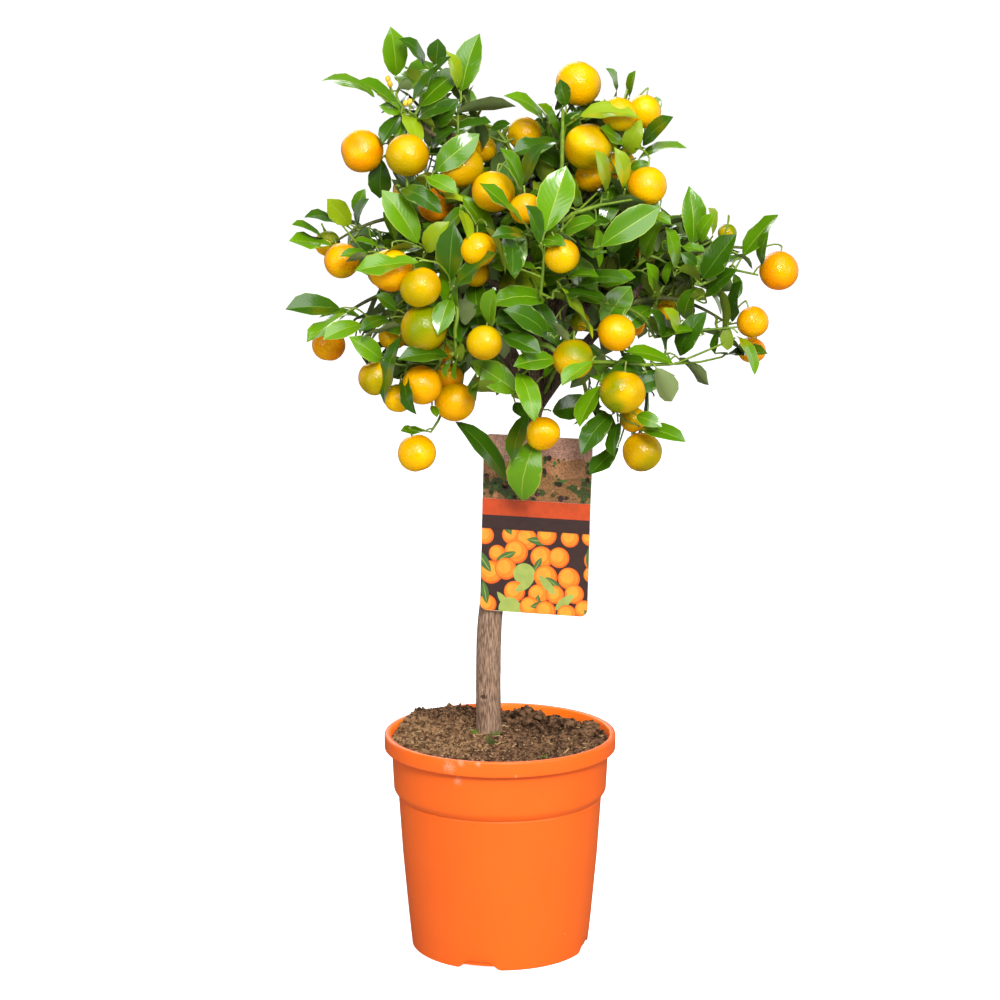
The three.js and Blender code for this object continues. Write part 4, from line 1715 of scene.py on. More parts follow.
    def hang_fruit(self) -> None:
        """Gives each fruit its stalk and the end of a shoot to hang on."""
        for fruit in self.fruits:
            top = fruit.centre + fruit.stalk * fruit.radius * 0.93
            start = top + fruit.stalk * self.fruit_stalk
            self.shoots.append((start, -fruit.stalk))
            self.petioles.append((start, top))

    def grow_stems(self) -> None:
        """Grows the seen stems and then a twig to the end of every shoot, the inner ones first."""
        for stem in SEEN_STEMS:
            ends = [self.face_point(stem.places[end], stem.sink * MM)[1] for end in (0, -1)]
            depths = np.linspace(*ends, len(stem.places))
            line = [self.view.at_depth(place, float(depth)) for place, depth in zip(stem.places, depths)]
            self.twigs.follow(line, stem.radius * MM)
        self.shoots.sort(key=lambda shoot: float(np.linalg.norm(shoot[0] - self.heart)))
        for end, toward in self.shoots:
            self.twigs.grow(end, toward)

    def in_sky(self, seen: Array) -> bool:
        """Tells whether any seen point lies in a patch of open sky."""
        return any(bool(np.any(np.hypot(seen[:, 0] - x, seen[:, 1] - y) < radius)) for x, y, radius in SKY)

    @staticmethod
    def in_outline(seen: Array) -> bool:
        """Tests seen points against the crown's outline.

        Args:
            seen: across, down and depth, one point a row.

        Returns:
            Whether every one of them lies inside.
        """
        inside = np.zeros(len(seen), bool)
        for start, end in zip(OUTLINE, OUTLINE[1:] + OUTLINE[:1]):
            crosses = (start[1] > seen[:, 1]) != (end[1] > seen[:, 1])
            slope = (end[0] - start[0]) / (end[1] - start[1] + 1e-9)
            inside ^= crosses & (seen[:, 0] < start[0] + slope * (seen[:, 1] - start[1]))
        return bool(inside.all())

    def in_masses(self, points: Array, allowance: float) -> bool:
        """Tells whether every point lies in one of the masses, each grown by a share of its size."""
        offset = (points[:, None] - self.centres) / (self.halves * allowance)
        return bool((np.linalg.norm(offset, axis=2).min(axis=1) < 1).all())

    def fits(self, points: Array) -> bool:
        """Tests whether a filling piece stays in the crown and out of what is seen.

        Args:
            points: points spread over the piece.

        Returns:
            Whether it does.
        """
        if np.any(points < self.box[0]) or np.any(points > self.box[1]):
            return False
        seen = self.view.seen(points)
        if self.in_sky(seen) or self.spread.hides(seen) or not self.in_outline(seen):
            return False
        if not self.in_masses(points, 1.5) or not self.in_masses(points[len(points) // 2][None], 1.15):
            return False
        centres = np.array([f.centre for f in self.fruits])
        radii = np.array([f.radius for f in self.fruits])
        away = np.linalg.norm(points[:, None] - centres[None], axis=2)
        return bool((away > radii[None] * 0.93).all())

    def fill_targets(self) -> list[Array]:
        """Spreads the tips of the filling shoots evenly through the masses.

        Returns:
            The tips, the inner ones first.
        """
        targets = [np.full(3, 9.0)]
        chance = np.random.default_rng(SEED)
        points = chance.uniform(self.box[0], self.box[1], (self.fill_tries, 3))
        offset = (points[:, None] - self.centres) / self.halves
        for point in points[np.linalg.norm(offset, axis=2).min(axis=1) < 1.12]:
            close = np.min(np.linalg.norm(np.array(targets) - point, axis=1)) < self.fill_gap
            if not close and self.fits(point[None]):
                targets.append(point)
        targets.pop(0)
        targets.sort(key=lambda p: float(np.linalg.norm(p - self.heart)))
        return targets

    def fill(self) -> None:
        """Grows the filling shoots with their leaves."""
        for target in self.fill_targets():
            if not self.dress_shoot(self.twigs.grow(target)):
                self.twigs.undo()

    def dress_shoot(self, path: list[int]) -> int:
        """Sets leaves in a spiral along the outer end of a shoot.

        Args:
            path: the shoot's points, its tip last.

        Returns:
            How many leaves it carries.
        """
        line = np.array([self.twigs.points[i] for i in path])
        total = float(reaches(line)[-1])
        chance = self.rng.random()
        tint = next(tint for limit, tint in self.tint_shares if chance < limit)
        turn = self.rng.uniform(0, 2 * math.pi)
        at = total
        order = 0
        held = 0
        while at > max(0.0, total - self.leafy_reach) and order < self.most_leaves:
            point = along_line(line, at)
            stem = unit(line[-1] - line[-2]) if len(line) > 1 else UP
            turn += self.spiral
            first = across(stem, np.array((0.2, 0.3, 0.93)))
            radial = math.cos(turn) * first + math.sin(turn) * np.cross(stem, first)
            spread = 0.25 if order == 0 else self.rng.uniform(0.65, 1.1)
            outward = unit(point - self.heart)
            axis = unit(math.cos(spread) * stem + math.sin(spread) * radial + 0.3 * outward - 0.12 * UP)
            size = self.rng.uniform(*self.leaf_length) * (0.78 if order == 0 else 0.95)
            held += self.try_leaf(point, axis, outward, size, tint)
            at -= self.rng.uniform(*self.leaf_gap)
            order += 1
        return held

    def try_leaf(self, node: Array, axis: Array, outward: Array, length: float, tint: Tint) -> bool:
        """Sets a filling leaf on its stalk where it fits.

        Args:
            node: where its stalk leaves the shoot.
            axis: the direction in which it grows.
            outward: the direction out of the crown there.
            length: the blade's length.
            tint: the spray's tint.

        Returns:
            Whether it fits.
        """
        base = node + axis * self.leaf_stalk
        light = unit(UP * 0.75 + outward * 0.7)
        normal = across(axis, light)
        sideways = np.cross(axis, normal)
        roll = self.rng.gauss(0, self.leaf_roll)
        normal = unit(math.cos(roll) * normal + math.sin(roll) * sideways)
        width = length * self.rng.uniform(*self.leaf_aspect)
        middle = base + axis * length * 0.5
        if np.min(np.linalg.norm(np.array(self.middles) - middle, axis=1)) < self.crowded:
            return False
        if not self.fits(self.blade_points(base, axis * length, np.cross(axis, normal) * width / 2, 5, 3)):
            return False
        self.middles.append(middle)
        if tint is Tint.DEEP and self.rng.random() < 0.2:
            tint = Tint.MID
        self.leaves.add(base, axis, normal, length, width, tint, self.rng.randrange(len(LEAF_SHAPES)))
        self.petioles.append((node, base))
        return True

    def add_side_fruit(self) -> None:
        """Hangs more fruit round the sides and the back, where the front view doesn't reach."""
        chance = self.rng
        for middle, half in zip(self.centres, self.halves):
            for _ in range(self.side_tries):
                way = direction(chance.gauss(0, 1), abs(chance.gauss(0, 1)) + 0.2, chance.gauss(0, 0.8))
                centre = middle + way * half * 0.93
                radius = chance.uniform(*self.side_radius)
                if centre[1] < self.side_depth:
                    continue
                crowded = min(float(np.linalg.norm(centre - f.centre)) for f in self.fruits) < self.side_gap
                in_sky = self.in_sky(self.view.seen(centre + radius * turned_ring(9, 6)))
                if crowded or self.in_masses(centre[None], 0.8) or in_sky:
                    continue
                if not self.behind_cover(centre + radius * turned_ring(9)):
                    continue
                lean = direction(chance.uniform(-0.4, 0.4), chance.uniform(-0.5, 0.1), 1.0)
                flush = chance.choice((0.0, 0.0, 0.1, 0.3, 0.6))
                green = direction(*self.green_side())
                self.fruits.append(Fruit(centre, radius, lean, flush, chance.uniform(0.0, 0.7), green))

    def behind_cover(self, points: Array) -> bool:
        """Tests whether points on the far side stay hidden from the front by the masses.

        Args:
            points: the points, one a row.

        Returns:
            Whether all of them do.
        """
        eye = self.view.eye()
        offset = (eye - self.centres) / (self.halves * 0.9)
        slope = (points[:, None] - eye) / (self.halves * 0.9)
        a, b = (slope * slope).sum(axis=2), (offset * slope).sum(axis=2)
        inside = b * b - a * ((offset * offset).sum(axis=1) - 1)
        hidden = (inside > 0) & ((-b - np.sqrt(np.maximum(inside, 0))) / a < 0.97)
        return bool(hidden.any(axis=1).all())

    def grow(self) -> None:
        """Grows the whole crown in order: what is seen first, then the filling."""
        self.place_seen_fruit()
        self.add_side_fruit()
        for order, leaf in enumerate(SEEN_LEAVES):
            self.place_seen_leaf(leaf, order)
        self.hang_fruit()
        self.grow_stems()
        self.fill()
        counts = (self.leaves.count, len(self.fruits), len(self.twigs.paths))
        LOG.info("crown: %d leaves, %d fruit, %d twigs", *counts)

    def fruit_stamp(self) -> Stamp:
        """Makes the fruit's body: a slightly flattened ball with a dimple round its stalk.

        Returns:
            The body as a stamp.
        """
        bm = bmesh.new()
        bmesh.ops.create_uvsphere(bm, u_segments=32, v_segments=20, radius=1)
        for vert in bm.verts:
            x, y, height = vert.co
            ring = math.hypot(x, y)
            dimple = 0.10 * math.exp(-((ring / 0.22) ** 2)) * (1 if height > 0 else 0.45)
            bumps = 1 + 0.012 * math.sin(5 * math.atan2(y, x)) * math.exp(-((ring - 0.35) ** 2) * 8)
            vert.co = Vector((x * bumps, y * bumps, height * 0.97 - math.copysign(dimple, height)))
        return Stamp.from_bmesh(bm)

    def calyx_stamp(self) -> Stamp:
        """Makes the green star that joins the fruit to its stalk.

        Returns:
            The star as a stamp.
        """
        bm = bmesh.new()
        bmesh.ops.create_cone(bm, cap_ends=True, segments=10, radius1=0.19, radius2=0.07, depth=0.12)
        rim = sorted((v for v in bm.verts if v.co.z < 0), key=lambda v: math.atan2(v.co.y, v.co.x))
        for order, vert in enumerate(rim):
            vert.co *= 1.25 if order % 2 else 0.72
            vert.co.z = -0.06
        return Stamp.from_bmesh(bm)

    def build_fruit(self, peel: Material, calyx: Material) -> None:
        """Builds the fruit and their stars as one piece.

        Args:
            peel: the fruit's material.
            calyx: the stars' material.
        """
        body = self.fruit_stamp()
        star = self.calyx_stamp()
        joined = Joined("fruit", [peel, calyx])
        for fruit in self.fruits:
            axes = axes_along(fruit.stalk, (1.0, 0.2, 0.0))
            spin = self.rng.uniform(0, 2 * math.pi)
            cosine, sine = math.cos(spin), math.sin(spin)
            turn = np.array(((cosine, sine, 0), (-sine, cosine, 0), (0, 0, 1)))
            squash = np.array((1.0, self.rng.uniform(0.97, 1.03), self.rng.uniform(0.96, 1.02)))
            lumps = np.array([[self.rng.gauss(0, 1) for _ in range(3)] for _ in range(3)])
            uneven = 1 + 0.017 * np.sin(body.corners @ lumps.T * 1.6).sum(axis=1)[:, None]
            corners = fruit.centre + (body.corners * uneven * squash * fruit.radius) @ turn @ axes
            side = (body.corners @ turn @ axes) @ fruit.green
            patches = np.sin(body.corners @ lumps.T * 2.3 + spin).sum(axis=1)
            flush = np.clip(fruit.flush * (1.0 + 1.0 * side + 0.3 * patches), 0, 1)
            ripeness = np.clip(fruit.ripeness + 0.16 * patches, 0, 1)
            values = {"flush": flush, "ripeness": ripeness}
            joined.add(body, corners, {0: 0}, values)
            top = fruit.centre + fruit.stalk * fruit.radius * 0.86
            corners = top + (star.corners * fruit.radius) @ axes
            zeros = np.zeros(len(corners))
            joined.add(star, corners, {0: 1}, {"flush": zeros, "ripeness": zeros})
        finish_piece(joined.build(sharp=math.radians(60)), "fruit")

    def build_buds(self, petal: Material, calyx: Material) -> None:
        """Builds the few closed blossom buds at the top of the crown.

        Args:
            petal: the buds' material.
            calyx: their feet's material.
        """
        bm = bmesh.new()
        bmesh.ops.create_uvsphere(bm, u_segments=12, v_segments=8, radius=1)
        for vert in bm.verts:
            vert.co.z *= 1.35
        for face in bm.faces:
            face.material_index = int(face.calc_center_median().z < -0.75)
        bud = Stamp.from_bmesh(bm)
        joined = Joined("buds", [petal, calyx])
        for place in SEEN_BUDS:
            centre = self.face_point(place, 0.012)
            lean = direction(self.rng.gauss(0, 0.5), -0.3, 1.0)
            axes = axes_along(lean, (1.0, 0.0, 0.0))
            joined.add(bud, centre + bud.corners * self.bud_radius @ axes, {0: 0, 1: 1})
            foot = centre - lean * 0.003
            self.petioles.append((foot - lean * 0.006 + (self.heart - foot) * 0.01, foot))
            self.twigs.grow(self.petioles[-1][0], lean)
        finish_piece(joined.build(), "fruit")

    def build_twigs(self, materials: list[Material]) -> None:
        """Builds the twigs and the leaf stalks, each kind as one piece.

        Args:
            materials: the finishes of brown twigs, of green twigs and of leaf stalks.
        """
        tubes = Tubes("twigs", materials[:2])
        self.twigs.add_to(tubes)
        finish_piece(tubes.build(), "bark")
        stalks = Tubes("leaf_stalks", [materials[2]])
        for start, end in self.petioles:
            middle = 0.5 * (start + end) + UP * 0.0008
            stalks.add(np.array((start, middle, end)), np.array((0.0009, 0.00075, 0.0008)))
        finish_piece(stalks.build(), "leaf")

    def build_leaves(self) -> None:
        """Builds the leaves in place of the masses."""
        masses = [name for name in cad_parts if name.startswith("foliage_")]
        for order, piece in enumerate(self.leaves.build()):
            finish_piece(piece, "leaf", *(masses if order == 0 else []))


# ---- pot


@dataclass
class NurseryPot:
    """The thin moulded pot with its collar, turned-down rim and four arched notches at the foot."""

    height: float = 0.202
    wall: float = 0.0018
    wall_line: tuple[tuple[float, float], ...] = (
        (0.082, 0.0008), (0.0850, 0.030), (0.0902, 0.088), (0.0937, 0.1410), (0.0938, 0.1428),
        (0.0935, 0.1434), (0.0936, 0.1440), (0.0946, 0.1446), (0.0952, 0.1453), (0.0976, 0.1492),
        (0.0981, 0.1508), (0.0983, 0.1545), (0.100, 0.188),
    )
    rim_radius: float = 0.1065
    rim_foot: float = 0.188
    rim_crest: float = 0.1036
    rim_crown: float = 0.0025
    floor: float = 0.0036
    floor_inset: float = 0.0035
    foot_width: float = 0.010
    steps: int = 216
    notch_count: int = 4
    first_notch: float = math.radians(-104)
    notch_foot: float = 0.042
    notch_top: float = 0.017
    notch_height: float = 0.0075
    notch_reach: float = 0.012
    marks: tuple[tuple[float, float, float, float], ...] = (
        (449, 767, 0.0120, 0.1065), (461, 763, 0.0070, 0.1065), (478, 764, 0.0055, 0.1065),
        (458, 781, 0.0080, 0.0995), (402, 764, 0.0030, 0.1065), (408, 766, 0.0030, 0.1065),
        (419, 770, 0.0026, 0.1065), (516, 776, 0.0028, 0.1065), (480, 963, 0.0022, 0.0825),
        (565, 934, 0.0020, 0.0850), (583, 834, 0.0014, 0.0925),
    )

    def outside(self) -> list[Pair]:
        """Draws the wall from its foot to under the rim, with its shoulder rounded.

        Returns:
            Radius and height of each point.
        """
        line: list[Pair] = [(0.0808, 0.0)]
        for start, end in zip(self.wall_line, self.wall_line[1:]):
            pieces = max(1, round((end[1] - start[1]) / 0.006))
            line += [
                (start[0] + (end[0] - start[0]) * i / pieces, start[1] + (end[1] - start[1]) * i / pieces)
                for i in range(pieces)
            ]
        line.append(self.wall_line[-1])
        return line

    def rim(self) -> list[Pair]:
        """Draws the rim from the wall, down inside the lip, up and over into the pot.

        Returns:
            Radius and height of each point.
        """
        under, lip = self.height - self.rim_crown, self.rim_radius - self.wall
        foot, outer, throat = self.rim_foot, self.rim_radius + 0.0001, self.rim_crest - 0.0024
        corner = 0.0016
        side, crest = self.rim_radius - corner, self.height - corner
        turns = np.linspace(0.1, math.pi / 2, 6)
        return [
            *((0.1020, 0.1890), (0.1027, 0.1903), (0.1028, under - 0.001), (0.1033, under)),
            *((lip - 0.0004, under), (lip, under - 0.0008)),
            *((lip + 0.0001, foot + 0.0004), (lip + 0.0005, foot)),
            *((self.rim_radius - 0.0004, foot), (self.rim_radius, foot + 0.0005), (outer, foot + 0.0011)),
            *((outer, foot + 0.006), (outer, self.height - 0.0024)),
            *((side + corner * math.cos(t), crest + corner * math.sin(t)) for t in turns),
            *((self.rim_crest - 0.0010, self.height - 0.0001), (throat + 0.0006, self.height - 0.0004)),
            *((throat, self.height - 0.0011), (throat - 0.0002, self.height - 0.0020)),
            (throat - 0.0002, 0.1910),
        ]

    def inside(self) -> list[Pair]:
        """Returns the inner wall from under the rim down to the floor's middle."""
        line = [(r - self.wall, max(z, self.floor)) for r, z in reversed(self.wall_line[:-1])]
        return [(self.wall_line[-1][0] - self.wall, 0.1885), *line, (0.03, self.floor), (0.0, self.floor)]

    def underside(self) -> list[Pair]:
        """Returns the underside from its middle out to the standing ring."""
        inner = self.wall_line[0][0] - self.foot_width
        return [(0.0, self.floor_inset * 0.5), (inner - 0.002, self.floor_inset * 0.5), (inner, 0.0)]

    def notch_lift(self, angle: float) -> float:
        """Finds how high the foot is lifted.

        Args:
            angle: the turn round the pot.

        Returns:
            The lift in metres.
        """
        gap = 2 * math.pi / self.notch_count
        turns = (angle - self.first_notch - i * gap for i in range(self.notch_count))
        away = min(abs(math.remainder(turn, 2 * math.pi)) for turn in turns) * self.wall_line[0][0]
        return self.notch_height * (1 - smooth(self.notch_top / 2, self.notch_foot / 2, away))

    def on_wall(self, view: FrontView, place: Pair, radius: float) -> Array:
        """Finds a seen place on the near side of the pot.

        Args:
            view: the front view.
            place: the place, across and down.
            radius: the pot's radius there.

        Returns:
            The point.
        """
        eye, ray = view.eye(), view.ray(place)
        a = float(ray[0] ** 2 + ray[1] ** 2)
        b = float(eye[0] * ray[0] + eye[1] * ray[1])
        c = float(eye[0] ** 2 + eye[1] ** 2) - radius * radius
        return eye + ray * (-b - math.sqrt(b * b - a * c)) / a

    def add_wear(self, material: Material, view: FrontView) -> None:
        """Breaks the pot's colour with the pale scuffs and nicks of its marks.

        Args:
            material: the pot's material.
            view: the front view.
        """
        tree = material.node_tree
        place = add_node(tree, "TexCoord", {}, "Object")
        pattern = add_node(tree, "TexNoise", {"Vector": place, "Scale": 650, "Detail": 6})
        colour = tree.nodes["mottle"].outputs[0]
        for across_at, down_at, reach, radius in self.marks:
            spot = self.on_wall(view, (across_at, down_at), radius)
            away = add_node(tree, "VectorMath", {0: place, 1: spot}, "Value", operation="DISTANCE")
            fade = {"Value": away, "From Max": reach, "To Min": 1.0, "To Max": 0.0}
            patch = maths(tree, "MULTIPLY", add_node(tree, "MapRange", fade), pattern)
            limits = {"Value": patch, "From Min": 0.2, "From Max": 0.6, "To Max": 0.4}
            shown = add_node(tree, "MapRange", limits)
            colour = blend(tree, shown, colour, screen(255, 214, 184))
        plug(tree, tree.nodes["Principled BSDF"], {"Base Color": colour})

    def build(self, finish: Material, inner: Material) -> None:
        """Spins the outline into the pot and lifts its foot at the notches.

        Args:
            finish: the pot's material.
            inner: the material of its upper inner wall, a brighter copy of the plastic with a painted glow.
        """
        bm = bmesh.new()
        outline = [*self.underside(), *self.outside(), *self.rim(), *self.inside()]
        verts = [bm.verts.new((radius, 0, height)) for radius, height in outline]
        parts = verts + [bm.edges.new(pair) for pair in zip(verts, verts[1:])]
        round_z = {"cent": (0, 0, 0), "axis": (0, 0, 1), "angle": 2 * math.pi}
        bmesh.ops.spin(bm, geom=parts, steps=self.steps, use_merge=True, **round_z)
        bmesh.ops.remove_doubles(bm, verts=bm.verts, dist=1e-6)
        foot = self.wall_line[0][0]
        for vert in bm.verts:
            radius = math.hypot(vert.co.x, vert.co.y)
            low = vert.co.z < self.notch_reach and radius > foot - self.foot_width - 0.003
            if low and (vert.co.z < self.floor_inset or radius > foot - 0.0005):
                lift = self.notch_lift(math.atan2(vert.co.y, vert.co.x))
                vert.co.z += max(0.0, lift * (1 - vert.co.z / self.notch_reach))
        bmesh.ops.recalc_face_normals(bm, faces=bm.faces)
        for face in bm.faces:
            middle = face.calc_center_median()
            inward = middle.x * face.normal.x + middle.y * face.normal.y < 0
            # Painted light: the upper inner wall takes the brighter, glowing copy of the plastic.
            face.material_index = int(inward and middle.z > 0.15 and middle.xy.length < 0.1025)
        piece = object_from_bmesh("pot_shell", bm, [finish, inner])
        piece.data.set_sharp_from_angle(angle=math.radians(32))
        finish_piece(piece, "pot_plastic", "pot")


# ---- compost


@dataclass
class Compost:
    """The lumpy compost with its crumbs, straw, white grit and the moss round the trunk's foot."""

    view: FrontView
    level: float = 0.195
    foot: float = 0.175
    radius: float = 0.1000
    lumps: int = 26
    crumbs: int = 4600
    chaff: int = 60
    lump_radius: Pair = (0.002, 0.0042)
    crumb_radius: Pair = (0.0004, 0.0013)
    crumb_kinds: tuple[float, ...] = (46, 19, 34.7, 0.3)
    damp_kinds: tuple[float, ...] = (46, 45, 8.7, 0.3)
    chaff_length: Pair = (0.0012, 0.0032)
    moss_length: Pair = (0.002, 0.0048)
    moss_spread: float = 0.0022
    root_radius: float = 0.016
    heaps: tuple[tuple[float, float, float, float], ...] = (
        (-0.050, 0.074, 0.0090, 0.046), (-0.083, 0.054, 0.0080, 0.026),
    )
    ripples: tuple[Pair, ...] = ((0.0026, 0.035), (0.0007, 1.1), (0.0004, 2.6))
    collar: float = 0.2008
    trunk_at: tuple[float, float] = (-0.010, 0.008)
    clods: tuple[tuple[float, float, float, float], ...] = (
        (524, 711, 0.0150, 0.0120), (512, 716, 0.0080, 0.0060), (556, 717, 0.0120, 0.0105),
        (571, 722, 0.0070, 0.0080), (589, 724, 0.0120, 0.0090), (602, 730, 0.0060, 0.0060),
        (408, 717, 0.0070, 0.0040), (540, 728, 0.0080, 0.0030), (530, 722, 0.0070, 0.0040),
    )
    moss_at: tuple[tuple[float, float], ...] = ((-0.0226, 0.002),)
    straws: tuple[tuple[float, float, float, float], ...] = (
        (505, 728, 0.008, 0.6), (520, 742, 0.009, -0.2), (566, 748, 0.008, 0.9), (577, 727, 0.005, 0.2),
        (553, 741, 0.006, -0.5), (498, 742, 0.006, 0.3),
    )
    tufts: tuple[tuple[float, float, int], ...] = (
        (492, 742, 24), (496, 738, 14), (545, 755, 6), (604, 724, 6),
    )
    mounds: list[tuple[float, float, float, float]] = field(default_factory=list)

    def __post_init__(self) -> None:
        """Finds each clod's x, y, radius and height."""
        for across_at, down_at, radius, height in self.clods:
            point = self.view.at_level((across_at, down_at), self.level + height)
            self.mounds.append((float(point[0]), float(point[1]), radius, height))

    def by_trunk(self, x: float, y: float, reach: float) -> bool:
        """Tells whether a place lies within reach of the trunk's middle."""
        return math.hypot(x - self.trunk_at[0], y - self.trunk_at[1]) < reach

    def scatter(self, rng: random.Random, share: float) -> tuple[float, float]:
        """Picks a chance place on the bed.

        Args:
            rng: the seeded source of chance.
            share: the share of the bed's radius that it may reach.

        Returns:
            Its x and y.
        """
        turn = rng.uniform(0, 2 * math.pi)
        away = self.radius * math.sqrt(rng.random()) * share
        return away * math.cos(turn), away * math.sin(turn)

    def height(self, x: float, y: float) -> float:
        """Finds the compost's surface.

        Args:
            x, y: the place.

        Returns:
            Its height.
        """
        place = Vector((x, y, 0)) * 1000
        total = self.level
        for at_x, at_y, rise, spread in self.heaps:
            total += rise * math.exp(-((math.hypot(x - at_x, y - at_y) / spread) ** 2))
        rough = noise.turbulence(place * 0.22, 4, False, noise_basis="PERLIN_ORIGINAL")
        total += 0.0022 * (rough - 0.5) + 0.0016 * noise.noise(place * 0.09 + Vector((7, 0, 0)))
        total += sum(rise * noise.noise(place * fine) for rise, fine in self.ripples)
        for at_x, at_y, radius, height in self.mounds:
            away = math.hypot(x - at_x, y - at_y) / radius
            total += 0.45 * height * (1 - smooth(0.3, 1.1, away))
        share = smooth(0.008, 0.042, math.hypot(x - self.trunk_at[0], y - self.trunk_at[1]))
        return (self.collar + 0.0012 * noise.noise(place * 0.4)) * (1 - share) + total * share

    def is_damp(self, x: float, y: float) -> bool:
        """Tells whether the bed is dark and damp, as it is right of the trunk and at the front."""
        ragged = noise.fractal(Vector((x, y, 0.4)) * 42, 0.9, 2.1, 5) * 0.055
        return max(x + 0.25 * y + 0.022, -0.042 - y, y - 0.052) + ragged > 0.004

    def build_bed(self, materials: list[Material]) -> None:
        """Builds the bed in place of the root ball.

        Args:
            materials: the dry and the damp finish.
        """
        bm = bmesh.new()
        bmesh.ops.create_grid(bm, x_segments=200, y_segments=200, size=1.0)
        for vert in bm.verts:
            u, v = vert.co.x, vert.co.y
            x = u * math.sqrt(1 - v * v / 2) * self.radius
            y = v * math.sqrt(1 - u * u / 2) * self.radius
            vert.co = Vector((x, y, self.height(x, y)))
        rim = [e for e in bm.edges if e.is_boundary]
        below = bmesh.ops.extrude_edge_only(bm, edges=rim)["geom"]
        for vert in (g for g in below if isinstance(g, bmesh.types.BMVert)):
            vert.co = Vector((vert.co.x * 0.95, vert.co.y * 0.95, self.foot))
        bottom = [e for e in bm.edges if e.is_boundary]
        bmesh.ops.holes_fill(bm, edges=bottom, sides=0)
        bmesh.ops.recalc_face_normals(bm, faces=bm.faces)
        for face in bm.faces:
            middle = face.calc_center_median()
            face.material_index = int(self.is_damp(middle.x, middle.y))
        finish_piece(object_from_bmesh("compost_bed", bm, materials), "compost", "root_ball")

    def crumb_stamps(self, rng: random.Random, fineness: int, rough: float) -> list[Stamp]:
        """Makes a few uneven crumbs or clods.

        Args:
            rng: the seeded source of chance.
            fineness: how often the ball is divided.
            rough: how far its skin is broken up.

        Returns:
            The crumbs as stamps.
        """
        stamps = []
        for _ in range(6):
            bm = bmesh.new()
            bmesh.ops.create_icosphere(bm, subdivisions=fineness, radius=1)
            shift = Vector([rng.uniform(-50, 50) for _ in range(3)])
            for vert in bm.verts:
                swell = 0.55 * noise.noise(vert.co * 1.4 + shift) + rough * noise.noise(vert.co * 4 + shift)
                vert.co *= 1 + swell + rough * 0.7 * noise.noise(vert.co * 9 + shift)
            stamps.append(Stamp.from_bmesh(bm))
        return stamps

    def build_clods(self, materials: list[Material]) -> None:
        """Sets the broken clods and the loose lumps on the bed.

        Args:
            materials: the dry and the damp finish.
        """
        rng = random.Random(SEED + 5)
        stamps = self.crumb_stamps(rng, 4, 0.34)
        joined = Joined("compost_clods", materials)
        heaped = []
        for x, y, radius, height in self.mounds:
            for _ in range(4):
                shift = np.array([rng.gauss(0, 0.34), rng.gauss(0, 0.34)]) * radius
                size = radius * rng.uniform(0.35, 0.6)
                heaped.append((x + shift[0], y + shift[1], size, height * rng.uniform(0.1, 0.5)))
        for _ in range(self.lumps):
            heaped.append((*self.scatter(rng, 0.93), rng.uniform(*self.lump_radius), 0.0002))
        for x, y, radius, rise in heaped:
            if self.by_trunk(x, y, self.root_radius + radius) or math.hypot(x, y) > self.radius - radius:
                continue
            axes = np.array(Matrix.Rotation(rng.uniform(0, 6.28), 3, "Z"))
            middle = np.array((x, y, self.height(x, y) + rise))
            stamp = rng.choice(stamps)
            corners = middle + (stamp.corners * np.array((1.1, 0.9, 0.8)) * radius) @ axes
            joined.add(stamp, corners, {0: int(self.is_damp(x, y) or rng.random() < 0.2)})
        finish_piece(joined.build(), "compost")

    def build_crumbs(self, materials: list[Material]) -> None:
        """Scatters crumbs of compost, bark and white grit over the bed.

        Args:
            materials: the brown, dark, tan and white finish.
        """
        rng = random.Random(SEED + 1)
        stamps = self.crumb_stamps(rng, 1, 0.2)
        joined = Joined("compost_crumbs", materials)
        for _ in range(self.crumbs):
            x, y = self.scatter(rng, 0.985)
            if self.by_trunk(x, y, 0.0135):
                continue
            kinds = self.damp_kinds if self.is_damp(x, y) else self.crumb_kinds
            kind = rng.choices(range(len(kinds)), kinds)[0]
            size = rng.uniform(*self.crumb_radius) * (1.8 if rng.random() < 0.05 else 1.0)
            size = size * 0.7 if kind == 3 else size
            turn = rng.uniform(0, 6.28)
            spin = np.array(Matrix.Rotation(turn, 3, Vector([rng.gauss(0, 1) for _ in range(3)])))
            stamp = rng.choice(stamps)
            shape = np.array((size * rng.uniform(0.8, 1.5), size, size * rng.uniform(0.6, 1.0)))
            corners = (stamp.corners * shape) @ spin + np.array((x, y, self.height(x, y) + size * 0.15))
            joined.add(stamp, corners, {0: kind})
        finish_piece(joined.build(), "compost")

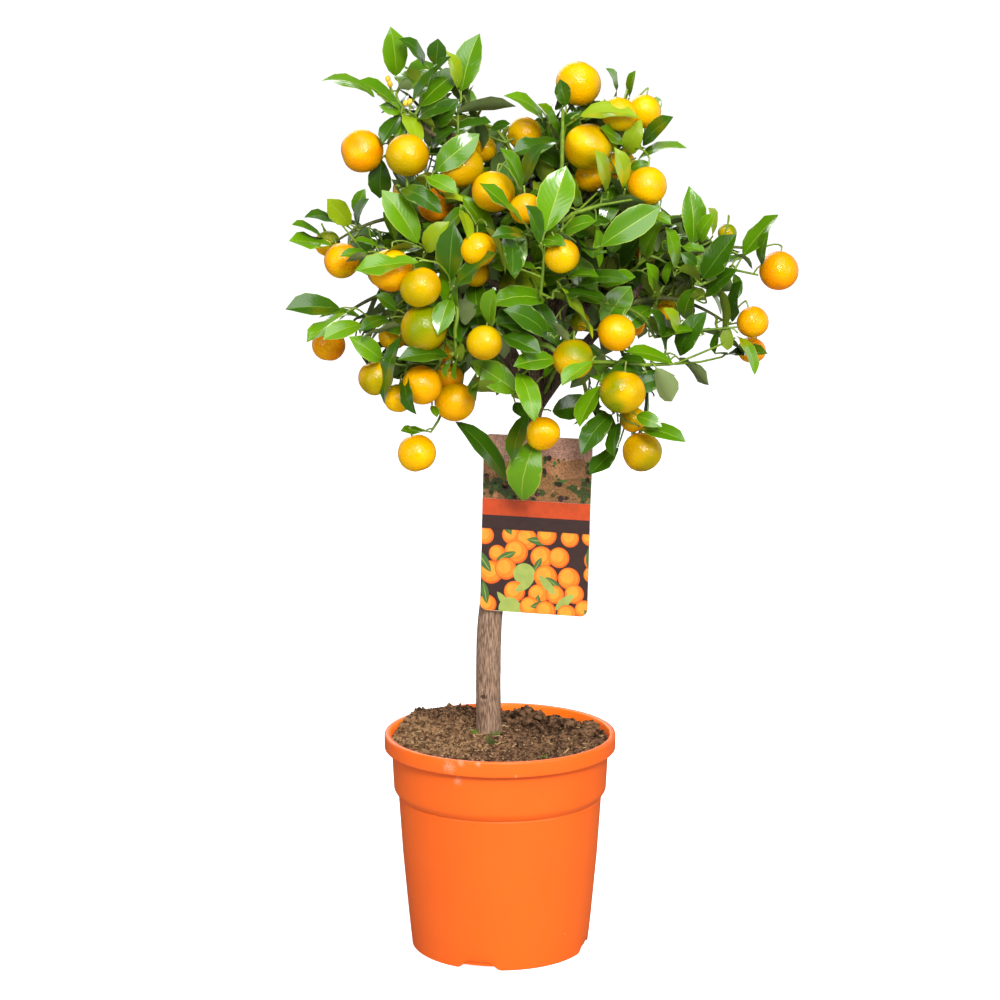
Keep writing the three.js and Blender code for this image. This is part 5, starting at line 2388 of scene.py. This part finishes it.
    def build_straw(self, materials: list[Material]) -> None:
        """Lays a few straws and stands the tufts of moss.

        Args:
            materials: the finishes of straw and of moss.
        """
        rng = random.Random(SEED + 2)
        tubes = Tubes("straw_and_moss", materials)
        for across_at, down_at, length, turn in self.straws:
            point = self.view.at_level((across_at, down_at), self.level + 0.003)
            step = np.array((math.cos(turn), math.sin(turn), 0)) * length / 3
            line = [point + step * i for i in (-1.5, -0.5, 0.5, 1.5)]
            for spot in line:
                spot[2] = self.height(float(spot[0]), float(spot[1])) + 0.0012 + rng.uniform(0, 0.0012)
            tubes.add(np.array(line), np.array((0.0004, 0.0006, 0.0006, 0.0003)))
        for _ in range(self.chaff):
            x, y = self.scatter(rng, 0.96)
            if self.by_trunk(x, y, self.root_radius):
                continue
            aim = rng.uniform(0, math.pi)
            step = np.array((math.cos(aim), math.sin(aim), 0)) * rng.uniform(*self.chaff_length)
            base = self.height(x, y) + 0.0006
            line = [np.array((x, y, base + rng.uniform(0, 0.0012))) + step * i for i in (-1, 0, 1)]
            tubes.add(np.array(line), np.array((0.00015, 0.00028, 0.00018)))
        spots = [(self.view.at_level(tuft[:2], self.level + 0.002), tuft[2]) for tuft in self.tufts]
        spots += [((x, y), 22) for x, y in self.moss_at]
        for point, blades in spots:
            for _ in range(blades):
                x = float(point[0]) + rng.gauss(0, self.moss_spread)
                y = float(point[1]) + rng.gauss(0, self.moss_spread)
                foot = np.array((x, y, self.height(x, y) - 0.0003))
                lean = np.array((rng.gauss(0, 0.5), rng.gauss(0, 0.5), 1.0))
                lean *= rng.uniform(*self.moss_length)
                blade = np.array((foot, foot + lean * 0.6, foot + lean))
                tubes.add(blade, np.array((0.0005, 0.0004, 0.00012)), 1)
        finish_piece(tubes.build(), "compost")


# ---- hang card


class Ink(Enum):
    """Print colours of the hang card."""

    DUSK = (202, 152, 130)
    HILL = (152, 106, 62)
    GROVE = (70, 84, 34)
    BAND = (200, 72, 24)
    SHADE = (60, 40, 36)
    DISC = (250, 132, 26)
    DISC_DEEP = (234, 96, 18)
    DISC_LIGHT = (253, 158, 44)
    SPRIG = (76, 112, 52)
    SPRIG_LIGHT = (160, 176, 84)
    WALL = (184, 130, 86)


@dataclass
class HangCard:
    """The printed card on the trunk: a hilly grove above, a plain band and loose round fruit below.

    Distances on the card run across from its middle and up from its middle, in metres. A ridge has its
    share of the picture's height and a fruit's ring its shift towards the light and its share of the radius.
    """

    width: float = 0.100
    height: float = 0.163
    thickness: float = 0.0008
    corner: float = 0.007
    at: tuple[float, float, float] = (0.0325, -0.014, 0.398)
    lean: float = math.radians(1.4)
    turn: float = math.radians(-12)
    layer: float = 0.00001
    trees: int = 48
    tree_inks: tuple[Ink, ...] = (Ink.GROVE, Ink.GROVE, Ink.SPRIG, Ink.SHADE, Ink.HILL, Ink.WALL)
    ridges: tuple[tuple[float, Ink], ...] = (
        (0.62, Ink.WALL), (0.42, Ink.HILL), (0.22, Ink.GROVE), (0.12, Ink.HILL),
    )
    rings: tuple[tuple[float, float, Ink], ...] = (
        (0, 1, Ink.DISC_DEEP), (0.05, 0.88, Ink.DISC), (0.16, 0.6, Ink.DISC_LIGHT),
    )
    disc_radius: Pair = (0.0072, 0.0112)
    sprig_length: Pair = (0.016, 0.027)
    band_top: float = 0.0225
    band_foot: float = 0.0075
    strip_foot: float = -0.0050

    def matrix(self) -> Matrix:
        """Returns the card's place: leaned in its own plane, then turned and set on the trunk."""
        turned = Matrix.Rotation(self.lean, 4, "Y") @ Matrix.Rotation(self.turn, 4, "Z")
        return Matrix.Translation(self.at) @ turned

    def cuts(self, low: float, high: float) -> list[tuple[Vector, Vector]]:
        """Finds the planes that bound a picture.

        Args:
            low, high: the picture's reach.

        Returns:
            A point and an outward normal of each plane.
        """
        edge, end = self.width / 2 - 0.0004, self.height / 2 - 0.0004
        rows = [(edge, 0, 1, 0), (-edge, 0, -1, 0), (0, high, 0, 1), (0, low, 0, -1)]
        for side, way in ((-1, -1), (-1, 1), (1, -1), (1, 1)):
            for turn in np.linspace(0.0, math.pi / 2, 5):
                x, z = math.cos(turn) * side, math.sin(turn) * way
                level = (end - self.corner) * way + z * self.corner
                rows.append(((edge - self.corner) * side + x * self.corner, level, x, z))
        return [(Vector((x, 0, z)), Vector((a, 0, b))) for x, z, a, b in rows]

    def patch(self, bm: BMesh, outline: list[Pair], ink: Ink, order: int, limits: Pair) -> None:
        """Adds one printed patch, cut off at the card's edges and at the picture's limits.

        Args:
            bm: the print.
            outline: the patch's outline, across and up.
            ink: its colour.
            order: its layer, the front ones higher.
            limits: the lowest and highest reach of the picture.
        """
        lift = -self.thickness - 0.00004 - self.layer * order
        patch = bmesh.new()
        face = patch.faces.new([patch.verts.new((x, lift, z)) for x, z in outline])
        face.material_index = list(Ink).index(ink)
        for point, normal in self.cuts(*limits):
            if patch.faces:
                parts = [*patch.verts, *patch.edges, *patch.faces]
                bmesh.ops.bisect_plane(patch, geom=parts, plane_co=point, plane_no=normal, clear_outer=True)
        if patch.faces:
            bmesh.ops.recalc_face_normals(patch, faces=patch.faces)
            for piece in patch.faces:
                if piece.normal.y > 0:
                    piece.normal_flip()
            bmesh.ops.solidify(patch, geom=list(patch.faces), thickness=0.00002)
            scrap = bpy.data.meshes.new("scrap")
            patch.to_mesh(scrap)
            bm.from_mesh(scrap)
            bpy.data.meshes.remove(scrap)
        patch.free()

    def ground(self, bm: BMesh, ink: Ink, order: int, limits: Pair) -> None:
        """Prints a plain ground over the card's whole width."""
        half, (low, high) = self.width / 2, limits
        self.patch(bm, [(-half, low), (half, low), (half, high), (-half, high)], ink, order, limits)

    @staticmethod
    def disc(x: float, z: float, radius: float, flat: float = 1.0) -> list[Pair]:
        """Returns the outline of a round or flattened disc."""
        turns = np.linspace(0, 2 * math.pi, 29)[:-1]
        return [(x + radius * math.cos(t), z + radius * flat * math.sin(t)) for t in turns]

    @staticmethod
    def sprig(x: float, z: float, length: float, width: float, turn: float) -> list[Pair]:
        """Draws a printed leaf.

        Args:
            x, z: its foot.
            length: its length.
            width: its width.
            turn: its turn on the card.

        Returns:
            Its outline.
        """
        shares = np.linspace(0, 1, 9)
        sides = [(share, 0.5) for share in shares] + [(share, -0.5) for share in shares[-2:0:-1]]
        outline = [(t * length, side * width * math.sin(math.pi * t) ** 0.8) for t, side in sides]
        cosine, sine = math.cos(turn), math.sin(turn)
        return [(x + a * cosine - b * sine, z + a * sine + b * cosine) for a, b in outline]

    @staticmethod
    def crest(x: float, order: int) -> float:
        """Returns how far the ridge of that order rolls up or down at x."""
        return 0.004 * math.sin(70 * x + 2.1 * order)

    def hills(self, bm: BMesh, rng: random.Random, limits: Pair) -> None:
        """Prints the hilly grove.

        Args:
            bm: the print.
            rng: the seeded source of chance.
            limits: the picture's reach.
        """
        self.ground(bm, Ink.DUSK, 0, limits)
        half, (low, high) = self.width / 2, limits
        for order, (share, ink) in enumerate(self.ridges):
            top = low + (high - low) * share
            ridge = [
                (x, top + self.crest(x, order) + 0.0025 * math.sin(190 * x + order))
                for x in np.linspace(half, -half, 40)
            ]
            self.patch(bm, [(-half, low), (half, low), *ridge], ink, 1 + order * 3, limits)
            for _ in range(self.trees):
                x = rng.uniform(-half, half)
                base = top + self.crest(x, order) - rng.uniform(-0.001, 0.008)
                tree_ink = rng.choice(self.tree_inks)
                tree = self.disc(x, base, rng.uniform(0.0006, 0.0028), rng.uniform(0.7, 1.3))
                self.patch(bm, tree, tree_ink, 2 + order * 3, limits)

    def fruit_print(self, bm: BMesh, rng: random.Random, limits: Pair) -> None:
        """Prints the loose fruit and sprigs over a dark ground.

        Args:
            bm: the print.
            rng: the seeded source of chance.
            limits: the picture's reach.
        """
        self.ground(bm, Ink.SHADE, 0, limits)
        half, (low, high) = self.width / 2, limits
        order = 1
        for row in range(5):
            for column in range(6):
                x = -half + (column + 0.4 + 0.45 * (row % 2)) * self.width / 5.4 + rng.uniform(-0.004, 0.004)
                z = high - (row + 0.35) * (high - low) / 4.6 + rng.uniform(-0.003, 0.003)
                if rng.random() < 0.2:
                    continue
                radius = rng.uniform(*self.disc_radius)
                for step, (shift, share, ink) in enumerate(self.rings):
                    ring = self.disc(x - radius * shift, z + radius * shift, radius * share)
                    self.patch(bm, ring, Ink.SPRIG_LIGHT if row * column == 4 else ink, order + step, limits)
                order += 3
                if rng.random() < 0.6:
                    turn = rng.uniform(-math.pi, math.pi)
                    length = rng.uniform(*self.sprig_length)
                    ink = rng.choice((Ink.SPRIG, Ink.SPRIG, Ink.SPRIG_LIGHT))
                    self.patch(bm, self.sprig(x, z, length, length * 0.34, turn), ink, order, limits)
                    vein = self.sprig(x, z, length * 0.9, length * 0.03, turn)
                    self.patch(bm, vein, Ink.SPRIG_LIGHT, order + 1, limits)
                    order += 2

    def build(self, effect: Effect) -> None:
        """Prints the card's face and gives the card and its strap their finish.

        Args:
            effect: the shared node groups.
        """
        rng = random.Random(SEED + 3)
        bm = bmesh.new()
        half_height = self.height / 2
        self.hills(bm, rng, (self.band_top, half_height))
        self.ground(bm, Ink.BAND, 90, (self.band_foot, self.band_top))
        self.fruit_print(bm, rng, (-half_height, self.strip_foot))
        self.ground(bm, Ink.SHADE, 80, (self.strip_foot, self.band_foot))
        bmesh.ops.transform(bm, matrix=self.matrix(), verts=bm.verts)
        materials = []
        plain = Finish("", (), (), 0.4, mottle_to=0.6, grain_depth=0.00001, coat=0.2)
        for ink in Ink:
            colour = ink.value
            share, scale = (0.7, 620) if ink in (Ink.DUSK, Ink.WALL, Ink.HILL, Ink.GROVE) else (0.93, 150)
            low, name = tuple(share * c for c in colour), "print_" + ink.name.lower()
            finish = replace(plain, name=name, low=low, high=colour, mottle_scale=scale)
            materials.append(finish.material(effect))
        finish_piece(object_from_bmesh("card_print", bm, materials, False), "printed_card")
        board = Finish("card_board", (226, 222, 212), (240, 238, 230), 0.4, grain_depth=0.00003)
        strap = Finish("strap_plastic", (214, 210, 198), (232, 230, 220), 0.45, grain_depth=0.00003)
        for name, finish in (("hang_card", board), ("card_strap", strap)):
            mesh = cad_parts[name].data
            mesh.materials.clear()
            mesh.materials.append(finish.material(effect))


# ---- studio


@dataclass
class Studio:
    """A pale floor under soft white light from the front, above and the sides.

    Each light has its name, its place, the point that it faces, the side of its square and its watts.
    """

    floor_radius: float = 14.0
    lights: tuple[tuple[str, tuple[float, ...], tuple[float, ...], float, float], ...] = (
        ("key_light", (0.4, -2.6, 1.9), (0.02, 0.0, 0.42), 0.75, 76.0),
        ("left_light", (-1.9, -1.8, 1.0), (0.0, 0.0, 0.45), 1.2, 15.0),
        ("right_light", (1.9, -1.5, 0.9), (0.0, 0.0, 0.35), 1.2, 16.0),
        ("top_light", (0.1, -1.2, 2.5), (0.0, 0.0, 0.6), 2.4, 48.0),
        ("back_light", (-0.6, 2.4, 1.8), (0.0, 0.0, 0.5), 1.6, 32.0),
        ("left_edge_light", (-2.2, 1.6, 0.6), (0.0, 0.0, 0.4), 2.4, 10.0),
        ("right_edge_light", (2.2, 1.6, 0.6), (0.0, 0.0, 0.4), 2.4, 14.0),
    )

    @staticmethod
    def by_ray(tree: Tree, output: str, shaders: list[Socket]) -> None:
        """Shows one shader to light, one to glossy rays and one to the camera.

        Args:
            tree: the node tree.
            output: its output node.
            shaders: the three shaders in that order.
        """
        path = add_node(tree, "LightPath", {}).node.outputs
        last = shaders[0]
        for label, other in zip(("Is Glossy Ray", "Is Camera Ray"), shaders[1:]):
            last = add_node(tree, "MixShader", {0: path[label], 1: last, 2: other})
        plug(tree, tree.nodes[output], {"Surface": last})

    def floor(self) -> None:
        """Adds the pale floor."""
        bm = bmesh.new()
        bmesh.ops.create_circle(bm, cap_ends=True, segments=64, radius=self.floor_radius)
        material, tree = new_material("studio_floor")
        shown = tree.nodes["Principled BSDF"]
        look = {
            "Base Color": (0.75, 0.75, 0.75, 1), "Roughness": 0.9, "Specular IOR Level": 0.0,
            "Emission Color": (1, 1, 1, 1), "Emission Strength": 1.0,
        }
        plug(tree, shown, look)
        plain = [add_node(tree, "BsdfDiffuse", {"Color": (grey, grey, grey, 1)}) for grey in (0.5, 0.1)]
        self.by_ray(tree, "Material Output", [*plain, shown.outputs[0]])
        object_from_bmesh("studio_floor", bm, [material], False)

    def surroundings(self) -> None:
        """Makes the surroundings white to look at and softer as light."""
        world = bpy.data.worlds.new("studio")
        world.use_nodes = True
        bpy.context.scene.world = world
        tree = world.node_tree
        tree.nodes.remove(tree.nodes["Background"])
        looks = [{"Color": (1, 1, 1, 1), "Strength": power} for power in (0.15, 0.06, 1.05)]
        self.by_ray(tree, "World Output", [add_node(tree, "Background", look) for look in looks])

    def build(self) -> None:
        """Builds the floor, the white surroundings and the lights."""
        bpy.context.scene.view_settings.view_transform = "Standard"
        self.floor()
        self.surroundings()
        for name, place, aim, size, power in self.lights:
            data = bpy.data.lights.new(name, "AREA")
            data.size = size
            data.energy = power
            lamp = add_object(name, data)
            lamp.location = place
            lamp.rotation_euler = (Vector(aim) - Vector(place)).to_track_quat("-Z", "Y").to_euler()


# ---- everything


def build_compost(view: FrontView, effect: Effect) -> None:
    """Builds the compost with its crumbs, straw and moss.

    Args:
        view: the front view.
        effect: the shared node groups.
    """
    compost = Compost(view)
    dry = Finish(
        "compost_dry", (84, 61, 40), (166, 129, 94), roughness=0.95, mottle_scale=170, mottle_from=0.4,
        mottle_to=0.6, grain_scale=1100, grain_depth=0.0016, grain_strength=0.9, specular=0.08,
    )
    beds = [dry, replace(dry, name="compost_damp", low=(58, 42, 30), high=(140, 106, 78))]
    crumbs = [
        Finish("crumb_brown", (100, 72, 50), (138, 104, 74), 0.95, specular=0.1),
        Finish("crumb_dark", (60, 42, 30), (88, 64, 46), 0.95, specular=0.1),
        Finish("crumb_tan", (148, 116, 82), (176, 142, 104), 0.95, specular=0.1),
        Finish("crumb_grit", (206, 200, 186), (230, 226, 214), 0.9, specular=0.2),
    ]
    straw = Finish("straw", (186, 150, 94), (220, 190, 136), 0.7)
    moss = Finish("moss", (66, 92, 24), (112, 136, 40), 0.8)
    kinds = (beds, crumbs, [straw, moss])
    beds, crumbs, stems = ([finish.material(effect) for finish in kind] for kind in kinds)
    compost.build_bed(beds)
    compost.build_clods(beds)
    compost.build_crumbs(crumbs)
    compost.build_straw(stems)


def main() -> None:
    """Builds the studio, the camera and every piece of the plant."""
    logging.basicConfig(level=logging.INFO, format="%(name)s: %(message)s")
    view = FrontView()
    view.add_camera()
    Studio().build()
    effect = Effect()
    plastic = Finish(
        "pot_plastic", (245, 101, 16), (249, 106, 20), roughness=0.4, mottle_scale=9, grain_scale=1600,
        grain_depth=0.00005, grain_strength=0.25, specular=0.4,
    )
    # Painted light: the upper inner wall is a brighter copy of the plastic with an orange emission that
    # stands in for light through the thin wall.
    glow = (1.0, 0.12, 0.015, 1)
    inner = replace(plastic, name="pot_plastic_inner_painted_glow", low=(254, 120, 20), high=(255, 126, 24), glow=glow)
    pot = NurseryPot()
    outer = plastic.material(effect)
    pot.add_wear(outer, view)
    pot.build(outer, inner.material(effect))
    build_compost(view, effect)
    bark = Finish(
        "bark", (106, 83, 68), (170, 140, 116), roughness=0.9, mottle_scale=900, mottle_from=0.38,
        mottle_to=0.62, stretch=0.13, grain_scale=1700, grain_depth=0.0009, grain_strength=0.8,
        specular=0.15,
    )
    young = Finish("bark_young", (70, 78, 34), (98, 104, 48), 0.8, mottle_scale=300, stretch=0.3)
    scar = Finish("bark_scar", (52, 38, 30), (92, 70, 54), 0.95, mottle_scale=900)
    # Painted shade: a darker copy of the bark for the thick boughs inside the crown.
    shaded_bough_bark = replace(bark, name="bark_inner", low=(58, 47, 38), high=(108, 90, 74))
    wood = Woodwork()
    limbs = wood.limbs()
    wood.build([finish.material(effect) for finish in (bark, young, scar, shaded_bough_bark)])
    crown = Crown(view, limbs)
    crown.grow()
    crown.build_leaves()
    calyx = Finish("calyx", (120, 140, 60), (150, 160, 80), 0.7).material(effect)
    petal = Finish("bud", (226, 176, 20), (244, 204, 60), 0.5, mottle_scale=200).material(effect)
    crown.build_buds(petal, calyx)
    twig_finishes = [
        Finish("twig_brown", (84, 74, 50), (112, 98, 70), 0.8, mottle_scale=300, stretch=0.3),
        Finish("twig_green", (90, 120, 20), (118, 146, 32), 0.5, mottle_scale=200, stretch=0.3),
        Finish("leaf_stalk", (118, 144, 46), (142, 164, 60), 0.5, mottle_scale=200),
    ]
    crown.build_twigs([finish.material(effect) for finish in twig_finishes])
    crown.build_fruit(PeelFinish().material(effect), calyx)
    HangCard().build(effect)


if __name__ == "__main__":
    main()
